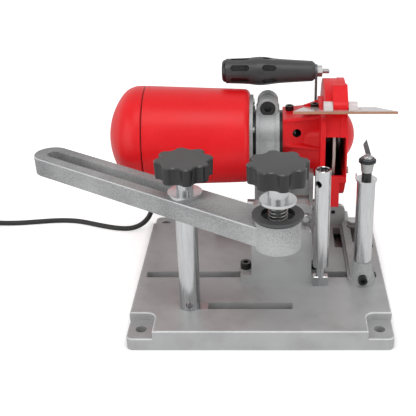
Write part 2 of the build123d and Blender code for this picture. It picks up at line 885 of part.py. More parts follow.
with BuildPart() as spindle_housing:
    with BuildSketch(across(housing_left, motor_y, motor_z)):
        Circle(housing_r)
    extrude(amount=housing_length)
    for x, (width, height, mid) in ((housing_left, funnel_left), (housing_right, funnel_right)):
        with BuildSketch(across(x, motor_y, motor_z)):
            with Locations((0, mid)):
                RectangleRounded(width, height, funnel_corner)
    loft()
    loft([housing_box(housing_left, housing_pad_front, housing_pad_rear, -housing_pad_bottom, housing_pad_top,
                      edge_round),
          housing_box(housing_right, housing_pad_front - housing_pad_recess, housing_pad_rear,
                      -housing_pad_bottom - housing_pad_fall, housing_pad_top + housing_pad_rise,
                      edge_round)])
    rib_back = housing_pad_front - 2 * housing_pad_recess
    for low, high in ((housing_pad_top - housing_rib, housing_pad_top + housing_rib_rise - housing_rib),
                      (-housing_pad_bottom, -housing_pad_bottom - housing_pad_fall)):
        loft([housing_box(housing_left, housing_pad_front, -rib_back, low, low + housing_rib, edge_round),
              housing_box(housing_right, housing_pad_front + housing_rib_reach, -rib_back, high,
                          high + housing_rib, edge_round)])
    with BuildSketch(facing(motor_y + housing_pad_rear)):
        with BuildLine():
            Polyline((gusset_left, housing_top), (housing_right, housing_top),
                     (housing_right, housing_top + gusset_height), close=True)
        make_face()
    extrude(amount=gusset_t)
    extrude(housing_box(housing_flange_left, housing_flange_front, housing_flange_rear, -housing_flange_drop,
                        housing_flange_top, funnel_corner), amount=housing_right - housing_flange_left)
    extrude(housing_box(handle_pad_left, -housing_bore / 2, handle_pad_rear, handle_pad_top - handle_pad_t,
                        handle_pad_top, edge_round), amount=housing_right - handle_pad_left)
    with BuildSketch(across(housing_left, motor_y, motor_z)):
        Circle(housing_bore)
    extrude(amount=housing_length, mode=Mode.SUBTRACT)
    with BuildSketch(facing(motor_y, housing_hole_x, housing_hole_z)):
        Circle(housing_hole / 2)
    extrude(amount=2 * housing_r, mode=Mode.SUBTRACT)
    for x, seat in zip(housing_screws_x, screw_seats):
        with BuildSketch(level(seat)):
            with Locations((x, housing_screw_y)):
                Circle(m6_head / 2 + spotface)
        extrude(amount=m6, mode=Mode.SUBTRACT)
        with BuildSketch(level(seat)):
            with Locations((x, housing_screw_y)):
                Circle(m6 / 2)
        extrude(amount=-m6, mode=Mode.SUBTRACT)
    with BuildSketch(level(handle_seat)):
        with Locations((foot_screw_x, handle_y)):
            Circle(m6 / 2)
    extrude(amount=-m6, mode=Mode.SUBTRACT)
save(spindle_housing, "spindle_housing")

# Wheel guard: a round casing squared off at its lower front, and a domed cover


def guard_outline(grow, drop):
    """Side view about the wheel axis, squared off to a drop at the front, grown by a margin."""
    with BuildSketch() as side:
        Circle(guard_r + grow)
        with Locations((-(guard_r + grow) / 2, -(drop + grow) / 2)):
            Rectangle(guard_r + grow, drop + grow)
    return side.sketch


def lug_outline():
    """Side view of the hinge lug about the wheel axis: a rounded bar lying on the guard's rim."""
    hinge = (shield_hinge_y - motor_y, shield_hinge_z - motor_z)
    slope = radians(lug_slope)
    top = (hinge[0] + lug_bar * cos(slope), hinge[1] + lug_bar * sin(slope))
    with BuildSketch() as side:
        with BuildLine():
            Line(hinge, top)
        trace(line_width=2 * lug_r)
        with Locations(hinge, top):
            Circle(lug_r)
    return side.sketch


def guard_window():
    """Front view of the opening that the blade's rim enters."""
    mid_x, width = span(window_x0, window_x1)
    mid_z, height = span(window_z0, window_z1)
    with BuildSketch(facing(motor_y)) as opening:
        with Locations((mid_x, mid_z)):
            Rectangle(width, height)
    return opening.sketch


with BuildPart() as guard_body:
    with BuildSketch(across(guard_left, motor_y, motor_z)):
        add(guard_outline(0, guard_drop))
    extrude(amount=guard_split - guard_left)
    with BuildSketch(across(lug_x0, motor_y, motor_z)):
        add(lug_outline())
    extrude(amount=guard_split - lug_x0)
    with BuildSketch(across(guard_left + guard_wall, motor_y, motor_z)):
        add(guard_outline(-guard_wall, cover_drop))
    extrude(amount=guard_split - guard_left, mode=Mode.SUBTRACT)
    with BuildSketch(across(guard_left, motor_y, motor_z)):
        Circle(housing_bore)
    extrude(amount=guard_wall, mode=Mode.SUBTRACT)
    extrude(guard_window(), amount=2 * guard_r, mode=Mode.SUBTRACT)
    with BuildSketch(across(guard_left, shield_hinge_y, shield_hinge_z)):
        Circle(m6 / 2)
    extrude(amount=guard_right - guard_left, mode=Mode.SUBTRACT)
save(guard_body, "guard_body")


def dome_profile(wall):
    """Half section of the cover's dome about the shaft, drawn in by a wall: a circle's arc on a step."""
    rise = dome_right - guard_right
    ball = (dome_r**2 + rise**2) / (2 * rise)
    foot = sqrt((ball - wall)**2 - (ball - rise)**2)
    crown = ball - rise
    with BuildSketch(Plane(origin=(guard_right - crown, motor_y, motor_z + dome_rise), x_dir=(1, 0, 0),
                           z_dir=(0, -1, 0))) as half:
        with BuildLine():
            Line((crown, foot), (crown - guard_wall, foot))
            Line((crown - guard_wall, foot), (crown - guard_wall, 0))
            Line((crown - guard_wall, 0), (ball - wall, 0))
            JernArc((ball - wall, 0), (0, 1), ball - wall, degrees(atan2(foot, crown)))
        make_face()
    return half.sketch


with BuildPart() as guard_cover:
    dome_axis = Axis((guard_right, motor_y, motor_z + dome_rise), (1, 0, 0))
    with BuildSketch(across(guard_split, motor_y, motor_z)):
        add(guard_outline(cover_lip, cover_drop))
    extrude(amount=guard_right - guard_split)
    with BuildSketch(across(guard_split, motor_y, motor_z)):
        add(lug_outline())
    extrude(amount=guard_right - guard_split)
    revolve(dome_profile(0), axis=dome_axis)
    with BuildSketch(across(guard_split, motor_y, motor_z)):
        add(guard_outline(-guard_wall, cover_drop))
    extrude(amount=guard_right - guard_split - guard_wall, mode=Mode.SUBTRACT)
    revolve(dome_profile(guard_wall), axis=dome_axis, mode=Mode.SUBTRACT)
    extrude(guard_window(), amount=2 * guard_r, mode=Mode.SUBTRACT)
    with BuildSketch(across(guard_left, shield_hinge_y, shield_hinge_z)):
        Circle(m6 / 2)
    extrude(amount=guard_right - guard_left, mode=Mode.SUBTRACT)
save(guard_cover, "guard_cover")

cover_screw_r = guard_r - guard_wall - cover_screw_in
with BuildPart() as pan_screws:
    with BuildSketch(across(flange_right, motor_y, motor_z)):
        with PolarLocations(flange_screw_r, flange_screws, start_angle=flange_screw_start):
            Circle(flange_head / 2)
    extrude(amount=flange_head_height)
    with BuildSketch(across(guard_right, motor_y, motor_z)):
        with PolarLocations(cover_screw_r, cover_screws, start_angle=cover_screw_start):
            Circle(cover_screw_head / 2)
    extrude(amount=cover_head_height)
save(pan_screws, "pan_screws")

# Spindle: shaft with rotor, dish wheel held between a washer and a nut
wheel_back = wheel_x - wheel_rim / 2
wheel_dish = 8.0
washer_r = 18.0
washer_t = 4.0
shaft_left = motor_left + 1
with BuildPart() as spindle_shaft:
    with BuildSketch(across(shaft_left, motor_y, motor_z)):
        Circle(spindle_r)
    extrude(amount=wheel_back - washer_t - shaft_left)
    with BuildSketch(across(wheel_back - washer_t, motor_y, motor_z)):
        Circle(washer_r)
    extrude(amount=washer_t)
    with BuildSketch(across(wheel_back, motor_y, motor_z)):
        Circle(shaft_r)
    extrude(amount=guard_right - wheel_back + washer_t)
save(spindle_shaft, "spindle_shaft")

with BuildPart() as rotor:
    with BuildSketch(across(stator_left, motor_y, motor_z)):
        Circle(stator_bore - air_gap)
        Circle(spindle_r, mode=Mode.SUBTRACT)
    extrude(amount=stator_right - stator_left)
save(rotor, "rotor")

with BuildPart() as grinding_wheel:
    with BuildSketch(Plane(origin=(wheel_back, motor_y, motor_z), x_dir=(1, 0, 0), z_dir=(0, -1, 0))):
        with BuildLine():
            Polyline((0, shaft_r), (0, wheel_hub_r), (0, wheel_r), (wheel_rim, wheel_r),
                     (wheel_rim, wheel_hub_r + wheel_dish), (wheel_dish, wheel_hub_r),
                     (wheel_dish, shaft_r), close=True)
        make_face()
    revolve(axis=Axis((0, motor_y, motor_z), (1, 0, 0)))
save(grinding_wheel, "grinding_wheel")

with BuildPart() as wheel_nut:
    with BuildSketch(across(wheel_back + wheel_dish, motor_y, motor_z)):
        Circle(washer_r)
        Circle(shaft_r, mode=Mode.SUBTRACT)
    extrude(amount=washer_t)
    with BuildSketch(across(wheel_back + wheel_dish + washer_t, motor_y, motor_z)):
        RegularPolygon(spindle_r, hex_sides, major_radius=False)
        Circle(shaft_r, mode=Mode.SUBTRACT)
    extrude(amount=m8)
save(wheel_nut, "wheel_nut")

# Handle: bent plate on the housing, stud, and a turning grip
with BuildPart() as handle_plate:
    with BuildSketch(across(plate_right - plate_thickness, handle_y)):
        with Locations((0, (handle_seat + handle_z) / 2)):
            Rectangle(plate_width, handle_z - handle_seat)
        with Locations((0, handle_z)):
            Circle(plate_width / 2)
            Circle(handle_rod / 2, mode=Mode.SUBTRACT)
    extrude(amount=plate_thickness)
    with BuildSketch(level(handle_seat)):
        with Locations((foot_screw_x, handle_y)):
            Rectangle(plate_foot, plate_width)
            Circle(m6 / 2, mode=Mode.SUBTRACT)
    extrude(amount=plate_thickness)
save(handle_plate, "handle_plate")

with BuildPart() as housing_screws:
    for x, seat in zip(housing_screws_x, screw_seats):
        cap_screw(Plane(origin=(x, housing_screw_y, seat)), m6_head, m6_head_height, m6_socket, m6, m6)
    cap_screw(Plane(origin=(foot_screw_x, handle_y, handle_seat + plate_thickness)), m6_head,
              m6_head_height, m6_socket, m6, plate_thickness + m6)
save(housing_screws, "housing_screws")

stud_left = grip_left + stud_inset
with BuildPart() as handle_stud:
    with BuildSketch(across(stud_left, handle_y, handle_z)):
        Circle(handle_rod / 2)
    extrude(amount=stud_right - stud_left)
    chamfer(handle_stud.edges().group_by(Axis.X)[-1], edge_round / 2)
    with BuildSketch(across(plate_right, handle_y, handle_z)):
        RegularPolygon(handle_nut, hex_sides, major_radius=False)
    extrude(amount=handle_nut)
save(handle_stud, "handle_stud")

with BuildPart() as handle_grip:
    with BuildSketch(Plane(origin=(0, handle_y, handle_z), x_dir=(1, 0, 0), z_dir=(0, -1, 0))):
        with BuildLine():
            Polyline((stud_left - m8, 0), (grip_left, 0), (grip_left, grip_cap_r),
                     (grip_left + grip_cap, grip_cap_r), grip_curve[0])
            Spline(*grip_curve)
            Polyline(grip_curve[-1], (grip_right, grip_end_r), (grip_right, grip_bore / 2),
                     (stud_left - m8, grip_bore / 2), (stud_left - m8, 0))
        make_face()
    revolve(axis=Axis((0, handle_y, handle_z), (1, 0, 0)))
    fillet(handle_grip.edges().group_by(Axis.X)[0], grip_round)
    for row in range(oval_rows):
        out = Vector(0, 1, 0).rotate(Axis.X, oval_turn + row * 360 / oval_rows)
        for x, floor in zip(oval_x, oval_floor):
            seat = Vector(x, handle_y, handle_z) + out * floor
            with BuildSketch(Plane(origin=seat, x_dir=(1, 0, 0), z_dir=out)):
                SlotOverall(oval_length, oval_width)
            extrude(amount=oval_width, mode=Mode.SUBTRACT)
save(handle_grip, "handle_grip")

# Spark shield: tilted clear plate, slotted round the guard, with two tabs hung on the hinge lug
shield_plane = Plane(origin=(0, shield_hinge_y, shield_hinge_z), x_dir=(1, 0, 0),
                     z_dir=(0, sin(radians(shield_tilt)), cos(radians(shield_tilt))))
shield_drop = m6 / 2 + shield_thickness
shield_slot_front = lug_r + shield_slot_play
tab_spots = (lug_x0 - body_gap - tab_thickness, guard_right + body_gap)
with BuildPart() as spark_shield:
    slot_mid, slot_wide = span(shield_slot_left, shield_slot_right)
    with BuildSketch(shield_plane.offset(-shield_drop)):
        with BuildLine():
            Polyline((shield_left, -shield_front), (shield_right, -shield_front),
                     (shield_right - shield_taper, shield_rear), (shield_left + shield_taper, shield_rear),
                     close=True)
        make_face()
        with Locations((slot_mid, (shield_rear - shield_slot_front) / 2)):
            Rectangle(slot_wide, shield_rear + shield_slot_front, mode=Mode.SUBTRACT)
    extrude(amount=shield_thickness)
    for x in tab_spots:
        with BuildSketch(Plane(origin=(x, shield_hinge_y, shield_hinge_z), x_dir=shield_plane.y_dir,
                               z_dir=(1, 0, 0))):
            with BuildLine():
                Polyline((-shield_slot_front - tab_width, -shield_drop), (-shield_slot_front, -shield_drop),
                         (0, -tab_r), (0, tab_r), close=True)
            make_face()
            Circle(tab_r)
            Circle(m6 / 2 + running_gap, mode=Mode.SUBTRACT)
        extrude(amount=tab_thickness)
    for face, sign, bore in ((tab_spots[0], 1, shield_head / 2),
                             (tab_spots[1] + tab_thickness, -1, shield_nut_r)):
        with BuildSketch(across(face, shield_hinge_y, shield_hinge_z)):
            Circle(bore + body_gap)
        extrude(amount=sign * (shield_sink + shield_head_height + body_gap), mode=Mode.SUBTRACT)
save(spark_shield, "spark_shield")

with BuildPart() as shield_screw:
    head_left = tab_spots[0] + shield_sink
    nut_right = tab_spots[1] + tab_thickness - shield_sink
    with BuildSketch(across(head_left, shield_hinge_y, shield_hinge_z)):
        Circle(shield_head / 2)
    extrude(amount=shield_head_height)
    fillet(shield_screw.edges().group_by(Axis.X)[0], shield_head_height / 3)
    with BuildSketch(across(head_left + shield_sink, shield_hinge_y, shield_hinge_z)):
        Circle(m6 / 2)
    extrude(amount=nut_right - head_left - shield_sink)
    with BuildSketch(across(nut_right - shield_head_height, shield_hinge_y, shield_hinge_z)):
        RegularPolygon(shield_nut_r, hex_sides)
    extrude(amount=shield_head_height)
save(shield_screw, "shield_screw")

# Stop post: a plated sleeve that turns on a stud held by a square foot
with BuildPart() as stop_foot:
    with BuildSketch(level(base_height)):
        with Locations((stop_x, stop_y)):
            Rectangle(stop_block, stop_block_depth)
    extrude(amount=stop_block_height)
    fillet(stop_foot.edges().filter_by(Axis.Z), edge_round)
    chamfer(stop_foot.edges().group_by(Axis.Z)[-1], edge_round / 2)
    for bottom, top, d in ((base_height - deck, base_height, m8),
                           (base_height + stop_block_height, stop_bottom, stop_neck),
                           (stop_bottom, (stop_top + stop_bottom) / 2, stop_pin)):
        with BuildSketch(level(bottom)):
            with Locations((stop_x, stop_y)):
                Circle(d / 2)
        extrude(amount=top - bottom)
save(stop_foot, "stop_foot")

with BuildPart() as stop_post:
    with BuildSketch(level(stop_bottom)):
        with Locations((stop_x, stop_y)):
            Circle(stop_d / 2)
            Circle(stop_pin / 2 + running_gap, mode=Mode.SUBTRACT)
    extrude(amount=stop_top - stop_bottom)
    with BuildSketch(level(stop_bore_z)):
        with Locations((stop_x, stop_y)):
            Circle(stop_bore / 2)
    extrude(amount=stop_top - stop_bore_z, mode=Mode.SUBTRACT)
    chamfer(stop_post.edges().group_by(Axis.Z)[-1], edge_round / 2)
    hole_side = Plane(origin=(stop_x, stop_y, stop_hole_z),
                      z_dir=(-sin(radians(stop_hole_turn)), -cos(radians(stop_hole_turn)), 0))
    with BuildSketch(hole_side):
        Circle(stop_hole / 2)
    extrude(amount=stop_d, mode=Mode.SUBTRACT)
save(stop_post, "stop_post")

# Arm post: round column with a tommy-bar hole, screwed into a key that slides in the front slot
key_top = base_height - slide_gap
key_step = base_height - deck - slide_gap
with BuildPart() as arm_post:
    with BuildSketch(level(base_height)):
        with Locations((post_x, front_slot_y)):
            Circle(post_d / 2)
    extrude(amount=post_top - base_height)
    with BuildSketch(level(key_step)):
        with Locations((post_x, front_slot_y)):
            Circle(post_spigot / 2)
    extrude(amount=base_height - key_step)
    with BuildSketch(level(post_top - post_bore_depth)):
        with Locations((post_x, front_slot_y)):
            Circle(post_spigot / 2 + running_gap)
    extrude(amount=post_bore_depth, mode=Mode.SUBTRACT)
    with BuildSketch(facing(front_slot_y + post_d, post_x, tommy_z)):
        Circle(tommy_hole / 2)
    extrude(amount=2 * post_d, mode=Mode.SUBTRACT)
save(arm_post, "arm_post")

with BuildPart() as post_key:
    key_spot = (post_x + key_offset, front_slot_y)
    with BuildSketch(level(key_step)):
        with Locations(key_spot):
            RectangleRounded(key_length, slot_width - 2 * slide_gap, slot_corner)
    extrude(amount=key_top - key_step)
    with BuildSketch(level(key_step - nut_height)):
        with Locations(key_spot):
            Rectangle(key_length, nut_width)
    extrude(amount=nut_height)
    with BuildSketch(level(key_step)):
        with Locations((post_x, front_slot_y)):
            Circle(post_spigot / 2)
    extrude(amount=deck, mode=Mode.SUBTRACT)
save(post_key, "post_key")


def arm_level(z):
    """Level plane on the post's axis at height z, its local X along the arm towards the blade boss."""
    turn = radians(arm_angle)
    return Plane(origin=(post_x, front_slot_y, z), x_dir=(cos(turn), sin(turn), 0), z_dir=(0, 0, 1))


# Blade arm: slotted bar with a round boss at the blade end
arm_bottom = arm_top - arm_height
boss_top = arm_top + boss_rise
with BuildPart() as blade_arm:
    with BuildSketch(arm_level(arm_top)):
        with Locations(((boss_offset - arm_reach + arm_width / 2) / 2, 0)):
            SlotCenterToCenter(boss_offset + arm_reach - arm_width / 2, arm_width)
    extrude(amount=-arm_height, taper=arm_draft)
    fillet(blade_arm.faces().sort_by(Axis.Z)[-1].edges(), edge_round)
    with BuildSketch(arm_level(boss_top)):
        with Locations((boss_offset, 0)):
            Circle(boss_d / 2)
    extrude(amount=-boss_height)
    with BuildSketch(arm_level(arm_top)):
        slot_mid_x, slot_length = span(-slot_reach, slot_back)
        with Locations((slot_mid_x, 0)):
            SlotOverall(slot_length, arm_slot)
    extrude(amount=-arm_height, mode=Mode.SUBTRACT)
    with BuildSketch(arm_level(spring_floor)):
        with Locations((boss_offset, 0)):
            Circle(spring_well / 2)
    extrude(amount=boss_top - spring_floor, mode=Mode.SUBTRACT)
    with BuildSketch(arm_level(boss_top)):
        with Locations((boss_offset, 0)):
            Circle(stud_d / 2)
    extrude(amount=-boss_height, mode=Mode.SUBTRACT)
save(blade_arm, "blade_arm")

with BuildPart() as clamp_stud:
    with BuildSketch(arm_level(post_top - post_bore_depth + body_gap)):
        Circle(post_spigot / 2)
    extrude(amount=post_bore_depth)
    with BuildSketch(arm_level(arm_bottom + body_gap)):
        SlotOverall(block_length, arm_slot - 2 * slide_gap)
    extrude(amount=arm_height - 2 * body_gap)
    with BuildSketch(arm_level(arm_top - body_gap)):
        Circle(stud_d / 2)
    extrude(amount=clamp_knob_z + knob_bore - body_gap - arm_top)
save(clamp_stud, "clamp_stud")

with BuildPart() as clamp_flange:
    for bottom, top, d in ((arm_top, arm_top + clamp_flange_t, clamp_flange_d),
                           (arm_top + clamp_flange_t, clamp_knob_z, clamp_hub_d)):
        with BuildSketch(arm_level(bottom)):
            Circle(d / 2)
            Circle(stud_d / 2, mode=Mode.SUBTRACT)
        extrude(amount=top - bottom)
save(clamp_flange, "clamp_flange")

with BuildPart() as arm_knob:
    star_knob(arm_level(clamp_knob_z))
save(arm_knob, "arm_knob")

# Blade seat, sprung flange and knob on the arm's boss


def boss_level(z):
    """Level plane on the blade stud's axis at height z."""
    post = arm_level(z)
    return Plane(origin=post.from_local_coords((boss_offset, 0, 0)), x_dir=post.x_dir, z_dir=(0, 0, 1))


with BuildPart() as blade_seat:
    with BuildSketch(boss_level(boss_top)):
        Circle(seat_d / 2 - seat_cone)
    with BuildSketch(boss_level(boss_top + seat_t / 2)):
        Circle(seat_d / 2)
    loft()
    with BuildSketch(boss_level(boss_top + seat_t / 2)):
        Circle(seat_d / 2)
    extrude(amount=seat_t / 2)
    with BuildSketch(boss_level(boss_top)):
        Circle(spring_well / 2)
    extrude(amount=seat_t, mode=Mode.SUBTRACT)
save(blade_seat, "blade_seat")

with BuildPart() as blade_stud:
    with BuildSketch(boss_level(boss_top - boss_height)):
        Circle(stud_d / 2)
    extrude(amount=blade_knob_z + knob_bore - blade_press - body_gap - boss_top + boss_height)
save(blade_stud, "blade_stud")

with BuildPart() as blade_flange:
    for bottom, top, d in ((blade_flange_z, blade_flange_z + blade_flange_t, blade_flange_d),
                           (blade_flange_z + blade_flange_t, blade_knob_z, blade_hub_d)):
        with BuildSketch(boss_level(bottom)):
            Circle(d / 2)
            Circle(stud_d / 2 + running_gap, mode=Mode.SUBTRACT)
        extrude(amount=top - bottom)
save(blade_flange, "blade_flange")

with BuildPart() as blade_knob:
    star_knob(boss_level(blade_knob_z))
save(blade_knob, "blade_knob")

spring_low = spring_floor + spring_wire / 2 + running_gap
spring_rise = blade_flange_z - spring_floor - spring_wire - 2 * running_gap
spring_axis = boss_level(spring_low)


def spring_place(turn):
    """Point on the blade spring after a number of turns: a plain helix about the stud."""
    angle = 2 * pi * turn
    height = spring_rise * min(max(turn / spring_turns, 0), 1)
    return spring_axis.from_local_coords(
        Vector(spring_mean / 2 * cos(angle), spring_mean / 2 * sin(angle), height))


with BuildPart() as blade_spring:
    spring_path = winding(spring_place, spring_turns, spring_wire, spring_wire)
    with BuildSketch(Plane(origin=spring_path @ 0, z_dir=spring_path % 0)):
        Circle(spring_wire / 2)
    sweep(path=spring_path)
save(blade_spring, "blade_spring")
print("spring gap", round(least_gap(spring_place, spring_turns, spring_wire), 2))

# Tooth stop: slotted foot clamped through the base window, with a tube, a rod and a sprung finger
with BuildPart() as pawl_clamp_plate:
    clamp_mid_x, clamp_wide = span(plate_left, plate_right_x)
    clamp_mid_y, clamp_long = span(plate_front_y, plate_rear_y)
    with BuildSketch(level(plate_bottom)):
        with Locations((clamp_mid_x, clamp_mid_y)):
            Rectangle(clamp_wide, clamp_long)
        with Locations((pawl_x, pawl_bolt_y)):
            Circle(m8 / 2, mode=Mode.SUBTRACT)
    extrude(amount=base_height - deck - plate_bottom)
save(pawl_clamp_plate, "pawl_clamp_plate")

pawl_floor = base_height + pawl_height - pawl_channel_depth
with BuildPart() as pawl_bolt:
    with BuildSketch(level(plate_bottom)):
        with Locations((pawl_x, pawl_bolt_y)):
            Circle(m8 / 2)
    extrude(amount=pawl_floor - plate_bottom)
    with BuildSketch(level(pawl_floor)):
        with Locations((pawl_x, pawl_bolt_y)):
            Circle(washer_d / 2)
    extrude(amount=washer_height)
    with BuildSketch(level(pawl_floor + washer_height)):
        with Locations((pawl_x, pawl_bolt_y)):
            RegularPolygon(hex_width / 2, hex_sides, major_radius=False)
    extrude(amount=hex_height)
save(pawl_bolt, "pawl_bolt")

with BuildPart() as pawl_arm:
    foot_mid, foot_long = span(pawl_front, pawl_rear)
    cut_mid, cut_long = span(pawl_slot_front, pawl_slot_rear)
    channel_mid, channel_long = span(pawl_channel_front, pawl_rear + pawl_channel)
    for step, height in ((0, pawl_flange), (pawl_step, pawl_height)):
        with BuildSketch(level(base_height)):
            with Locations((pawl_x, foot_mid)):
                RectangleRounded(pawl_width - 2 * step, foot_long - 2 * step,
                                 pawl_width / 2 - step - edge_round)
        extrude(amount=height)
    with BuildSketch(level(pawl_floor)):
        with Locations((pawl_x, channel_mid)):
            SlotOverall(channel_long, pawl_channel, rotation=90)
    extrude(amount=pawl_channel_depth, mode=Mode.SUBTRACT)
    with BuildSketch(level(base_height)):
        with Locations((pawl_x, cut_mid)):
            SlotOverall(cut_long, pawl_slot, rotation=90)
    extrude(amount=pawl_height, mode=Mode.SUBTRACT)
    with BuildSketch(level(base_height)):
        with Locations((pawl_x, pawl_front_y)):
            Circle(pawl_boss / 2)
    extrude(amount=pawl_boss_top - base_height)
    with BuildSketch(level(tube_bottom)):
        with Locations((pawl_x, pawl_front_y)):
            Circle(pawl_tube_d / 2)
    extrude(amount=pawl_boss_top - tube_bottom, mode=Mode.SUBTRACT)
    with BuildSketch(facing(pawl_front_y, pawl_x, clamp_screw_z)):
        Circle(m6 / 2)
    extrude(amount=pawl_front_y - pawl_front, mode=Mode.SUBTRACT)
save(pawl_arm, "pawl_arm")

with BuildPart() as pawl_clamp_screw:
    cap_screw(facing(pawl_front, pawl_x, clamp_screw_z), clamp_head, clamp_head_height, m6_socket, m6,
              pawl_front_y - pawl_tube_d / 2 - pawl_front)
save(pawl_clamp_screw, "pawl_clamp_screw")

with BuildPart() as pawl_tube:
    with BuildSketch(level(tube_bottom)):
        with Locations((pawl_x, pawl_front_y)):
            Circle(pawl_tube_d / 2)
    extrude(amount=pawl_tube_top - tube_bottom)
    with BuildSketch(level(pawl_tube_top)):
        with Locations((pawl_x, pawl_front_y)):
            Circle(tube_washer / 2)
    extrude(amount=tube_washer_t)
    with BuildSketch(level(tube_bottom)):
        with Locations((pawl_x, pawl_front_y)):
            Circle(pawl_rod_d / 2 + running_gap)
    extrude(amount=pawl_tube_top + tube_washer_t - tube_bottom, mode=Mode.SUBTRACT)
    with BuildSketch(level(pawl_tube_top)):
        with Locations((pawl_x - (tube_washer - tube_washer_t) / 2, pawl_front_y)):
            Rectangle(tube_washer_t, m8)
    extrude(amount=tab_height)
save(pawl_tube, "pawl_tube")

with BuildPart() as pawl_rod:
    with BuildSketch(level(rod_bottom)):
        with Locations((pawl_x, pawl_front_y)):
            Circle(pawl_rod_d / 2)
    extrude(amount=pawl_rod_top - rod_bottom)
    fillet(pawl_rod.edges().group_by(Axis.Z)[-1], pawl_rod_d / 3)
save(pawl_rod, "pawl_rod")

finger_bottom = finger_z - finger_t / 2
clip_bottom = finger_bottom - pawl_clip_t
with BuildPart() as pawl_collar:
    for z, d in ((pawl_collar_z, pawl_collar_low), (clip_bottom, pawl_collar_d)):
        with BuildSketch(level(z)):
            with Locations((pawl_x, pawl_front_y)):
                Circle(d / 2)
    loft()
    with BuildSketch(level(clip_bottom)):
        with Locations((pawl_x, pawl_front_y)):
            Circle(pawl_clip_d / 2)
    extrude(amount=pawl_clip_t)
    with BuildSketch(level(pawl_collar_z)):
        with Locations((pawl_x, pawl_front_y)):
            Circle(pawl_rod_d / 2)
    extrude(amount=finger_bottom - pawl_collar_z, mode=Mode.SUBTRACT)
save(pawl_collar, "pawl_collar")

with BuildPart() as pawl_finger:
    root = Plane(origin=(pawl_x, pawl_front_y, finger_bottom), z_dir=(0, 0, 1))
    left, right = finger_side - finger_width / 2, finger_side + finger_width / 2
    with BuildSketch(root.rotated((0, 0, finger_turn))):
        Circle(finger_ring / 2)
        with BuildLine():
            Polyline((left, 0), (right, 0), (right, finger_length), (left, finger_length - finger_point),
                     close=True)
        make_face()
        Circle(pawl_rod_d / 2 + running_gap, mode=Mode.SUBTRACT)
    extrude(amount=finger_t)
save(pawl_finger, "pawl_finger")

# Switch on the back of the motor: a frame that follows the shell, and a rocker on a cross pin
with BuildPart() as switch_frame:
    with BuildSketch(facing(switch_rear, switch_x, motor_z)):
        RectangleRounded(switch_width, switch_height, base_corner / 2)
        Rectangle(recess_width, recess_height, mode=Mode.SUBTRACT)
    extrude(amount=recess_depth)
    with BuildSketch(facing(switch_rear - recess_depth, switch_x, motor_z)):
        RectangleRounded(switch_width, switch_height, base_corner / 2)
    extrude(amount=switch_rear - recess_depth - switch_front)
    for x, r in ((motor_left + seam, motor_r), (motor_right, motor_front_r)):
        with BuildSketch(across(x, motor_y, motor_z)):
            Circle(r)
    loft(mode=Mode.SUBTRACT)
    with BuildSketch(across(switch_x - switch_width / 2 + base_corner / 2, rocker_y, motor_z)):
        Circle(switch_pin / 2)
    extrude(amount=switch_width - base_corner)
save(switch_frame, "switch_frame")

with BuildPart() as switch_rocker:
    with BuildSketch(across(switch_x - recess_width / 2 + rocker_gap, 0, motor_z)):
        with BuildLine():
            Polyline((rocker_back, -rocker_half), (rocker_back, rocker_half), (rocker_front, rocker_half),
                     (switch_rear, 0), (rocker_front, -rocker_half), close=True)
        make_face()
        with Locations((rocker_y, 0)):
            Circle(switch_pin / 2 + running_gap, mode=Mode.SUBTRACT)
    extrude(amount=recess_width - 2 * rocker_gap)
save(switch_rocker, "switch_rocker")

# Mains cord: gland on the end cap, a drop to the bench, a run along it, a tied coil and a plug
gland_tip = gland_collar + gland_taper
with BuildPart() as cord_gland:
    with BuildSketch(gland_seat.offset(-gland_in)):
        Circle(gland_r)
    extrude(amount=gland_in)
    with BuildSketch(gland_seat):
        Circle(gland_collar_r)
    extrude(amount=gland_collar)
    with BuildSketch(gland_seat.offset(gland_collar)):
        Circle(gland_r)
    with BuildSketch(gland_seat.offset(gland_tip)):
        Circle(cord_d / 2 + 1)
    loft()
save(cord_gland, "cord_gland")

coil_low = cord_d / 2 + coil_lift
coil_turns = coil_in_turns + coil_out_turns


def coil_place(turn):
    """Point on the cord coil: a flat spiral inwards, half a turn of climb, a flat spiral out on top."""
    angle = 2 * pi * turn + pi / 2
    past = turn - coil_in_turns
    radius = coil_outer - coil_pitch * (coil_in_turns - abs(past))
    climb = min(max(2 * past + 0.5, 0), 1)
    height = coil_low + coil_pitch * climb**2 * (3 - 2 * climb)
    return Vector(coil_x + radius * cos(angle), coil_y + radius * sin(angle), height)


coil_path = winding(coil_place, coil_turns, cord_d, cord_tail)
cord_route = [
    gland_seat.from_local_coords(Vector(0, 0, gland_tip)),
    gland_seat.from_local_coords(Vector(0, 0, gland_tip + cord_straight)),
    Vector(-157.5, 159, 66),
    Vector(-158.5, 150, 37),
    Vector(-164.5, 145.5, 20.5),
    Vector(-175.5, 142, 9.2),
    Vector(-191, 141, cord_floor),
    Vector(-212, 144.5, cord_floor),
    Vector(-236, 154, cord_floor),
    Vector(-264, 166, cord_floor),
    Vector(-293, 167, cord_floor),
    Vector(-323, 162, cord_floor),
    Vector(-356, 155, cord_floor),
    coil_path @ 0 - (coil_path % 0) * cord_lead,
    coil_path @ 0,
]
cord_radii = []
for before, corner, after in zip(cord_route, cord_route[1:], cord_route[2:]):
    half_turn = radians((corner - before).get_angle(after - corner)) / 2
    cord_radii.append(bend_share * min((corner - before).length, (after - corner).length) / tan(half_turn))
print("cord radii", [round(radius) for radius in cord_radii])
with BuildPart() as cord_run:
    with BuildLine() as cord_line:
        FilletPolyline(*cord_route, radius=cord_radii)
    with BuildSketch(Plane(origin=cord_line.line @ 0, z_dir=cord_line.line % 0)):
        Circle(cord_d / 2)
    sweep(path=cord_line.line)
save(cord_run, "cord_run")

